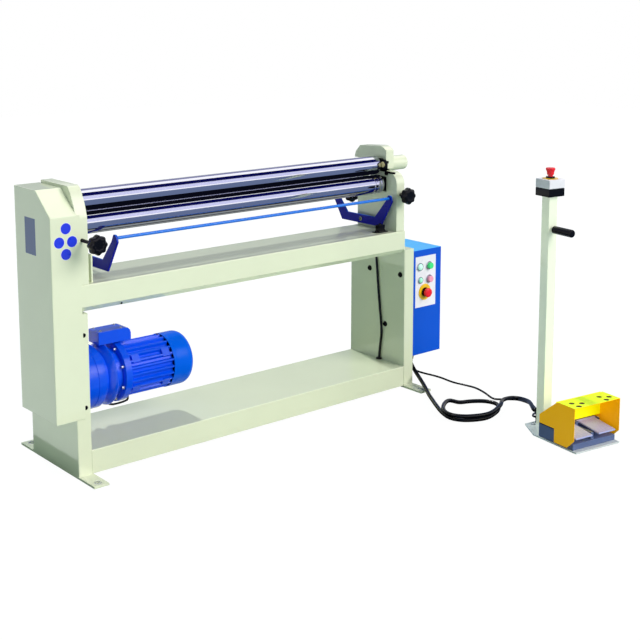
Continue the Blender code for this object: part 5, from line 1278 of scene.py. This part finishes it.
@dataclass
class Motor:
    """Gearbox, finned motor, cowl with its fan, terminal box and lead."""

    plan: Plan = ((Finish.MOTOR, 0.0008, ("motor_body",)), (Finish.BLACK, 0.0003, ("motor_fan",)),
                  (Finish.MOTOR, 0.0025, ("terminal_box",)), (Finish.SHEATH, 0.0, ("motor_lead",)))
    y: float = 0.165
    z: float = 0.292
    sides: int = 96
    # The gearbox from the leg to the flange: rounded rims, the seams of two lids, a waist
    drum: tuple[Pair, ...] = (
        (0.0053, 0.088), (0.0103, 0.107), (0.0153, 0.112), (0.0504, 0.112), (0.052, 0.1104),
        (0.0536, 0.112), (0.1164, 0.112), (0.118, 0.1104), (0.1196, 0.112), (0.146, 0.112),
        (0.150, 0.109), (0.152, 0.094), (0.166, 0.092), (0.171, 0.098), (0.182, 0.108),
        (0.186, 0.111), (0.190, 0.112), (0.1935, 0.11025), (0.195, 0.107), (0.200, 0.088),
        (0.2244, 0.088))
    cowl_radius: float = 0.0985
    cowl_sheet: float = 0.0016
    cowl_mouth: float = 0.022
    dome: float = 0.0985 / 3
    # Places of the pressed bead from the cowl's rim and how deep it is there
    bead: tuple[Pair, ...] = ((0.0, 0.0016), (0.0, 0.0), (0.010, 0.0), (0.012, 0.001), (0.014, 0.0))
    dome_steps: int = 8
    pad_angles: tuple[int, ...] = (145, 215, 35, 325)
    pad_starts: Pair = (0.268, 0.392)
    pad_length: float = 0.030
    pad_half_angle: float = 9.0
    pad_radii: Pair = (0.085, 0.0978)
    pad_rim: float = 0.001
    flange_start: float = 0.225
    flange_bolts: int = 8
    first_bolt: float = 22.5
    bolt_circle: float = 0.096
    bolt_head: Head = (0.0055, 0.007, 6)
    lid_inset_x: Pair = (0.014, 0.034)
    lid_inset_y: float = 0.012
    lid_head: Head = (0.0035, 0.003, 20)

    def around(self, angle: float, radius: float) -> Pair:
        """Return y and z of a point round the shaft, the angle counted from the back."""
        turn = math.radians(angle)
        return (self.y + radius * math.cos(turn), self.z + radius * math.sin(turn))

    def build(self) -> None:
        """Make gearbox and cowl afresh, dress the rest and add pads and bolts."""
        dress_all(self.plan)
        Form().turn(self.drum, (0.0, self.y, self.z), Axis.X, self.sides
                    ).piece("turned_gearbox", Finish.MOTOR, "gearbox", ["gearbox"])
        self.cowl()
        self.pads()
        self.bolts()

    def cowl(self) -> None:
        """Turn the domed cowl with its open end and a pressed bead."""
        low, high = span("fan_cowl")
        skirt = [(low.x + place, self.cowl_radius - depth) for place, depth in self.bead]
        walls = []
        for inset in (0.0, self.cowl_sheet):
            end, reach = high.x - inset, self.dome - inset
            wall = [(end, self.cowl_mouth)]
            for step in range(self.dome_steps + 1):
                angle = math.pi / 2 * step / self.dome_steps
                wall.append((end - reach * (1 - math.cos(angle)),
                             self.cowl_radius - self.dome + reach * math.sin(angle)))
            walls.append(wall)
        shell = [*skirt, *reversed(walls[0]), *walls[1]]
        Form().turn(shell, (0.0, self.y, self.z), Axis.X, self.sides, hollow=True
                    ).piece("turned_fan_cowl", Finish.COWL, "fan_cowl", ["fan_cowl"])

    def pads(self) -> None:
        """Add the cast pads that hold the motor's feet and lid."""
        form = Form()
        root, tip = self.pad_radii
        half = self.pad_half_angle
        for angle in self.pad_angles:
            for start in self.pad_starts:
                outline = [self.around(angle + turn, radius) for turn, radius in (
                    (-half, root), (half, root), (half, tip), (-half, tip))]
                form.prism(outline, Axis.X, start, start + self.pad_length)
        form.soften(self.pad_rim).piece("frame_pads", Finish.MOTOR, "motor_body")

    def bolts(self) -> None:
        """Add the bolts of the flange and of the terminal box."""
        angles = [self.first_bolt + 360 * number / self.flange_bolts
                  for number in range(self.flange_bolts)]
        Form().screws([(self.flange_start, *self.around(angle, self.bolt_circle))
                       for angle in angles], Axis.X, -1, self.bolt_head
                      ).piece("flange_bolts", Finish.BRIGHT_STEEL, "motor_body")
        low, high = span("terminal_box")
        Form().screws([(x, y, high.z)
                       for x in (low.x + self.lid_inset_x[0], high.x - self.lid_inset_x[1])
                       for y in (low.y + self.lid_inset_y, high.y - self.lid_inset_y)],
                      Axis.Z, 1, self.lid_head
                      ).piece("terminal_screws", Finish.BRIGHT_STEEL, "terminal_box")


@dataclass
class Adjusters:
    """The four lobed knobs with their screws."""

    nodes: tuple[str, ...] = ("left_front_knob", "right_front_knob", "left_rear_knob",
                              "right_rear_knob")
    radius: float = 0.034
    width: float = 0.030
    hub: float = 0.016
    # Places from the outer face, or from the inner one, and shares of the radius
    outer_rows: tuple[Pair, ...] = ((0.0025, 0.42), (0.0012, 0.50), (0.0, 0.58), (0.0012, 0.80),
                                    (0.004, 0.93), (0.009, 1.0))
    inner_rows: tuple[Pair, ...] = ((-0.008, 1.0), (-0.003, 0.94), (0.0, 0.78))
    hub_rows: tuple[Pair, ...] = ((0.001, 1.0), (0.016, 0.88), (0.018, 0.78))
    lobes: int = 8
    lobe: float = 0.13
    sides: int = 128
    smooth: float = 50.0
    thread: float = 0.006
    thread_root: float = 0.0054
    thread_step: float = 0.0015
    thread_sides: int = 24
    thread_smooth: float = 20.0

    def build(self) -> None:
        """Make every knob and its screw."""
        for node in self.nodes:
            low, high = span(node)
            outer, tip, back = (high.y, low.y, -1) if "rear" in node else (low.y, high.y, 1)
            self.knob(node, outer, back)
            self.screw(node, tip, outer + back * self.width)

    def knob(self, node: str, face: float, back: int) -> None:
        """Turn a knob from its outer face inwards.

        Args:
            node: Node that it stands for.
            face: Place of its outer face.
            back: 1 or -1, the way from that face to the machine.
        """
        rows = [(place, self.radius * share) for place, share in self.outer_rows]
        rows += [(self.width + place, self.radius * share) for place, share in self.inner_rows]
        rows += [(self.width + place, self.hub * share) for place, share in self.hub_rows]
        middle = middle_of(node)
        Form().turn([(back * place, radius) for place, radius in rows],
                    (middle.x, face, middle.z), Axis.Y, self.sides, self.lobes, self.lobe
                    ).piece(f"moulded_{node}", Finish.BLACK, node, [node], self.smooth)

    def screw(self, node: str, tip: float, inner: float) -> None:
        """Cut the screw between the knob and its tip, with the crests of its thread.

        Args:
            node: Node that it belongs to.
            tip: Place of its tip.
            inner: Place of the knob's inner face.
        """
        way = math.copysign(self.thread_step, inner - tip)
        profile = [(tip + way * number, self.thread if number % 2 else self.thread_root)
                   for number in range(int(abs(inner - tip) / self.thread_step))]
        middle = middle_of(node)
        Form().turn(profile, (middle.x, 0.0, middle.z), Axis.Y, self.thread_sides
                    ).piece(f"{node}_screw", Finish.BLACK_IRON, node, smooth=self.thread_smooth)


@dataclass
class TripFrame:
    """Safety frame in front of the rolls, its switch and its nuts."""

    plan: Plan = ((Finish.TRIP, 0.0012, ("left_trip_arm", "right_trip_arm")),
                  (Finish.TRIP_ROD, 0.0006, ("front_trip_rod", "rear_trip_rod")),
                  (Finish.BLACK, 0.0008, ("trip_switch",)))
    pivot: Pair = (0.190, 0.695)
    nut: Head = (0.0065, 0.006, 6)
    foot_margin: Pair = (0.016, 0.002)
    foot_z: Pair = (0.6632, 0.6662)
    foot_screw_out: float = 0.009
    foot_head: Head = (0.0042, 0.005, 6)

    def build(self) -> None:
        """Dress the frame and add the nuts of its pivots and the switch's foot."""
        dress_all(self.plan)
        nuts = Form()
        for arm, side, out in (("left_trip_arm", 1, 1), ("right_trip_arm", 0, -1)):
            nuts.screws([(span(arm)[side].x, *self.pivot)], Axis.X, out, self.nut)
        nuts.piece("pivot_nuts", Finish.BLACK_IRON, "left_trip_arm")
        low, high = span("trip_switch")
        wide, deep = self.foot_margin
        base, top = self.foot_z
        places = [(x, (low.y + high.y) / 2, top)
                  for x in (low.x - self.foot_screw_out, high.x + self.foot_screw_out)]
        Form().block((low.x - wide, low.y - deep, base), (high.x + wide, high.y + deep, top)
                     ).screws(places, Axis.Z, 1, self.foot_head
                              ).piece("switch_foot", Finish.BLACK_IRON, "trip_switch")


@dataclass
class ElectricBox:
    """Electric box with its door, button plate, lamps, buttons, glands and the leg's cable."""

    plan: Plan = ((Finish.BOX, 0.0020, ("control_box",)),
                  (Finish.BLACK, 0.0005, ("box_gland_plate",)),
                  (Finish.GREEN, 0.0008, ("start_button",)),
                  (Finish.PINK, 0.0008, ("reset_button",)),
                  (Finish.RED, 0.0006, ("box_stop_head",)),
                  (Finish.SHEATH, 0.0, ("leg_cable",)))
    face: float = 0.0
    door_fold: tuple[float, int] = (0.0016, 3)
    plate_low: Pair = (1.571, 0.327)
    plate_high: Pair = (1.688, 0.542)
    plate_reach: float = 0.001
    # Name, place, radius and finish of each lamp
    lamps: tuple[tuple[str, Pair, float, Finish], ...] = (
        ("power_lamp", (1.595, 0.4990), 0.0150, Finish.LAMP),
        ("fault_lamp", (1.598, 0.4425), 0.0125, Finish.MINT))
    dome_rows: tuple[Pair, ...] = ((-0.0005, 0.86), (-0.005, 0.86), (-0.0085, 0.70),
                                   (-0.0105, 0.42), (-0.0112, 0.12))
    dome_sides: int = 40
    bezel: Pair = (-0.0003, -0.005)
    bezel_shares: Pair = (0.88, 1.12)
    buttons: tuple[Pair, ...] = ((1.6481, 0.4990), (1.6481, 0.4425))
    button_radii: Pair = (0.0138, 0.0170)
    stop: Pair = (1.6241, 0.3895)
    # Name, finish, and the heights and radii of the rings round the emergency stop
    stop_rings: tuple[tuple[str, Finish, tuple[float, ...]], ...] = (
        ("stop_ring", Finish.YELLOW, (-0.0003, -0.0025, 0.0098, 0.034)),
        ("stop_collar", Finish.BLACK, (-0.0026, -0.0080, 0.0098, 0.019)))

    def on_face(self, place: Pair) -> Triple:
        """Return the point of the door's face at a place given by x and z."""
        return (place[0], self.face, place[1])

    def build(self) -> None:
        """Dress the box, let the plate into the door and add lamps and rings."""
        dress_all(self.plan)
        self.door()
        for name, place, radius, finish in self.lamps:
            dome = [(height, radius * share) for height, share in self.dome_rows]
            Form().turn(dome, self.on_face(place), Axis.Y, self.dome_sides
                        ).piece(name, finish, "box_door")
            inner, outer = (radius * share for share in self.bezel_shares)
            Form().ring(self.on_face(place), Axis.Y, *self.bezel, inner, outer
                        ).piece(f"{name}_bezel", Finish.BRIGHT_STEEL, "box_door")
        rings = Form()
        for place in self.buttons:
            rings.ring(self.on_face(place), Axis.Y, *self.bezel, *self.button_radii)
        rings.piece("button_bezels", Finish.BRIGHT_STEEL, "box_door")
        for name, finish, sizes in self.stop_rings:
            Form().ring(self.on_face(self.stop), Axis.Y, *sizes).piece(name, finish, "box_door")

    def door(self) -> None:
        """Round the door's rim and let the white plate into its face."""
        low, high = span("box_door")
        form = Form.from_node("box_door").soften(*self.door_fold, where=lambda point: (
            at_ends(point.x, low.x, high.x) or at_ends(point.z, low.z, high.z)))
        (x0, z0), (x1, z1) = self.plate_low, self.plate_high
        form.inlay((x0, self.face - self.plate_reach, z0), (x1, self.face + self.plate_reach, z1),
                   (0.0, -1.0, 0.0))
        form.piece("dressed_box_door", Finish.BOX, "box_door", ["box_door"], inlaid=Finish.WHITE)


@dataclass
class PedalStand:
    """Post with its grip and emergency stop, and the guarded pair of pedals."""

    plan: Plan = ((Finish.PALE, 0.0012, ("stand_plate",)),
                  (Finish.CREAM_POST_PAINTED_LIGHT, 0.0016, ("stand_post",)),
                  (Finish.BLACK, 0.0014, ("stand_grip",)),
                  (Finish.BLACK, 0.0020, ("stop_box_base",)),
                  (Finish.RED, 0.0006, ("stand_stop_head",)),
                  (Finish.GREY, 0.0016, ("pedal_housing",)),
                  (Finish.GUARD, 0.0006, ("pedal_guard",)),
                  (Finish.PEDAL, 0.0018, ("left_pedal", "right_pedal")),
                  (Finish.BLACK, 0.0004, ("post_gland_plate",)))
    lid_rim: float = 0.0020
    lid_top: Triple = (0.1075, 0.285, 0.9436)
    # Name, finish, and the heights and radii of the rings round the emergency stop
    stop_rings: tuple[tuple[str, Finish, tuple[float, ...]], ...] = (
        ("stand_stop_ring", Finish.YELLOW, (0.0003, 0.0022, 0.0098, 0.0285)),
        ("stand_stop_collar", Finish.BLACK, (0.0023, 0.0085, 0.0098, 0.0165)))
    hole_middles: Pair = (0.040, 0.175)
    holes: int = 3
    hole_reach: float = 0.021
    hole_y: float = 0.041
    hole_z: float = 0.1643
    hole_shade_rows: tuple[Pair, ...] = ((0.0, 0.0102), (0.0008, 0.0102), (0.0012, 0.00918))
    wall: tuple[Triple, Triple] = ((-0.0022, 0.1040, 0.0800), (0.2172, 0.1055, 0.1636))
    seals: tuple[tuple[Triple, Triple], ...] = (
        ((-0.0022, 0.104, 0.0590), (0.0037, 0.1845, 0.0632)),
        ((0.2113, 0.104, 0.0590), (0.2172, 0.1845, 0.0632)))
    housing_screws: tuple[Triple, ...] = (
        (0.020, 0.150, 0.063), (0.020, 0.188, 0.063), (0.195, 0.150, 0.063), (0.195, 0.188, 0.063))
    housing_head: Head = (0.0042, 0.004, 6)
    post_screws: tuple[Triple, ...] = ((0.070, 0.300, 0.006), (0.145, 0.300, 0.006))
    post_head: Head = (0.006, 0.006, 6)

    def build(self) -> None:
        """Dress the stand and add the painted hole shades, wall, seals, rings and screws."""
        dress_all(self.plan)
        self.lid()
        self.hole_shades()
        # The wall inside the guard wears painted light
        Form().block(*self.wall).on_stand().piece("guard_inner_wall", Finish.GUARD_WALL_PAINTED_LIGHT,
                                                  "pedal_guard")
        seals = Form()
        for corners in self.seals:
            seals.block(*corners)
        seals.on_stand().piece("guard_seals", Finish.RUBBER, "stand_plate")
        for name, finish, sizes in self.stop_rings:
            Form().ring(self.lid_top, Axis.Z, *sizes).on_stand().piece(name, finish,
                                                                      "stand_plate")
        Form().screws(self.housing_screws, Axis.Z, 1, self.housing_head).screws(
            self.post_screws, Axis.Z, 1, self.post_head
        ).on_stand().piece("stand_screws", Finish.BRIGHT_STEEL, "stand_plate")

    def lid(self) -> None:
        """Round the outer edges of the stop box's lid and leave its bore as it is."""
        low, high = span("stop_box_lid")
        middle = middle_of("stop_box_lid")
        dress("stop_box_lid", Finish.WHITE, bends=[(self.lid_rim, lambda point: (
            (point - middle).to_2d().length > (high.x - low.x) / 4))])

    def hole_shades(self) -> None:
        """Fill the holes of the guard's roof with discs of painted shade, a darkened guard colour.
        """
        form = Form()
        for middle in self.hole_middles:
            for number in range(self.holes):
                turn = FULL_TURN * number / self.holes
                form.turn(self.hole_shade_rows, (middle + self.hole_reach * math.cos(turn),
                                           self.hole_y + self.hole_reach * math.sin(turn),
                                           self.hole_z), Axis.Z, WASHER_SIDES)
        form.on_stand().piece("roof_hole_shades", Finish.HOLE_SHADE, "pedal_guard")


def main() -> None:
    """Build the camera, the cables, the studio and every sub-assembly in order."""
    logging.basicConfig(level=logging.INFO, format="%(message)s")
    for maker in (Camera(), Cables(), Studio(), FrameStand(), Housings(), Rolls(), Drive(), Motor(),
                  Adjusters(), TripFrame(), ElectricBox(), PedalStand()):
        log.info("-- %s", type(maker).__name__)
        maker.build()


if __name__ == "__main__":
    main()
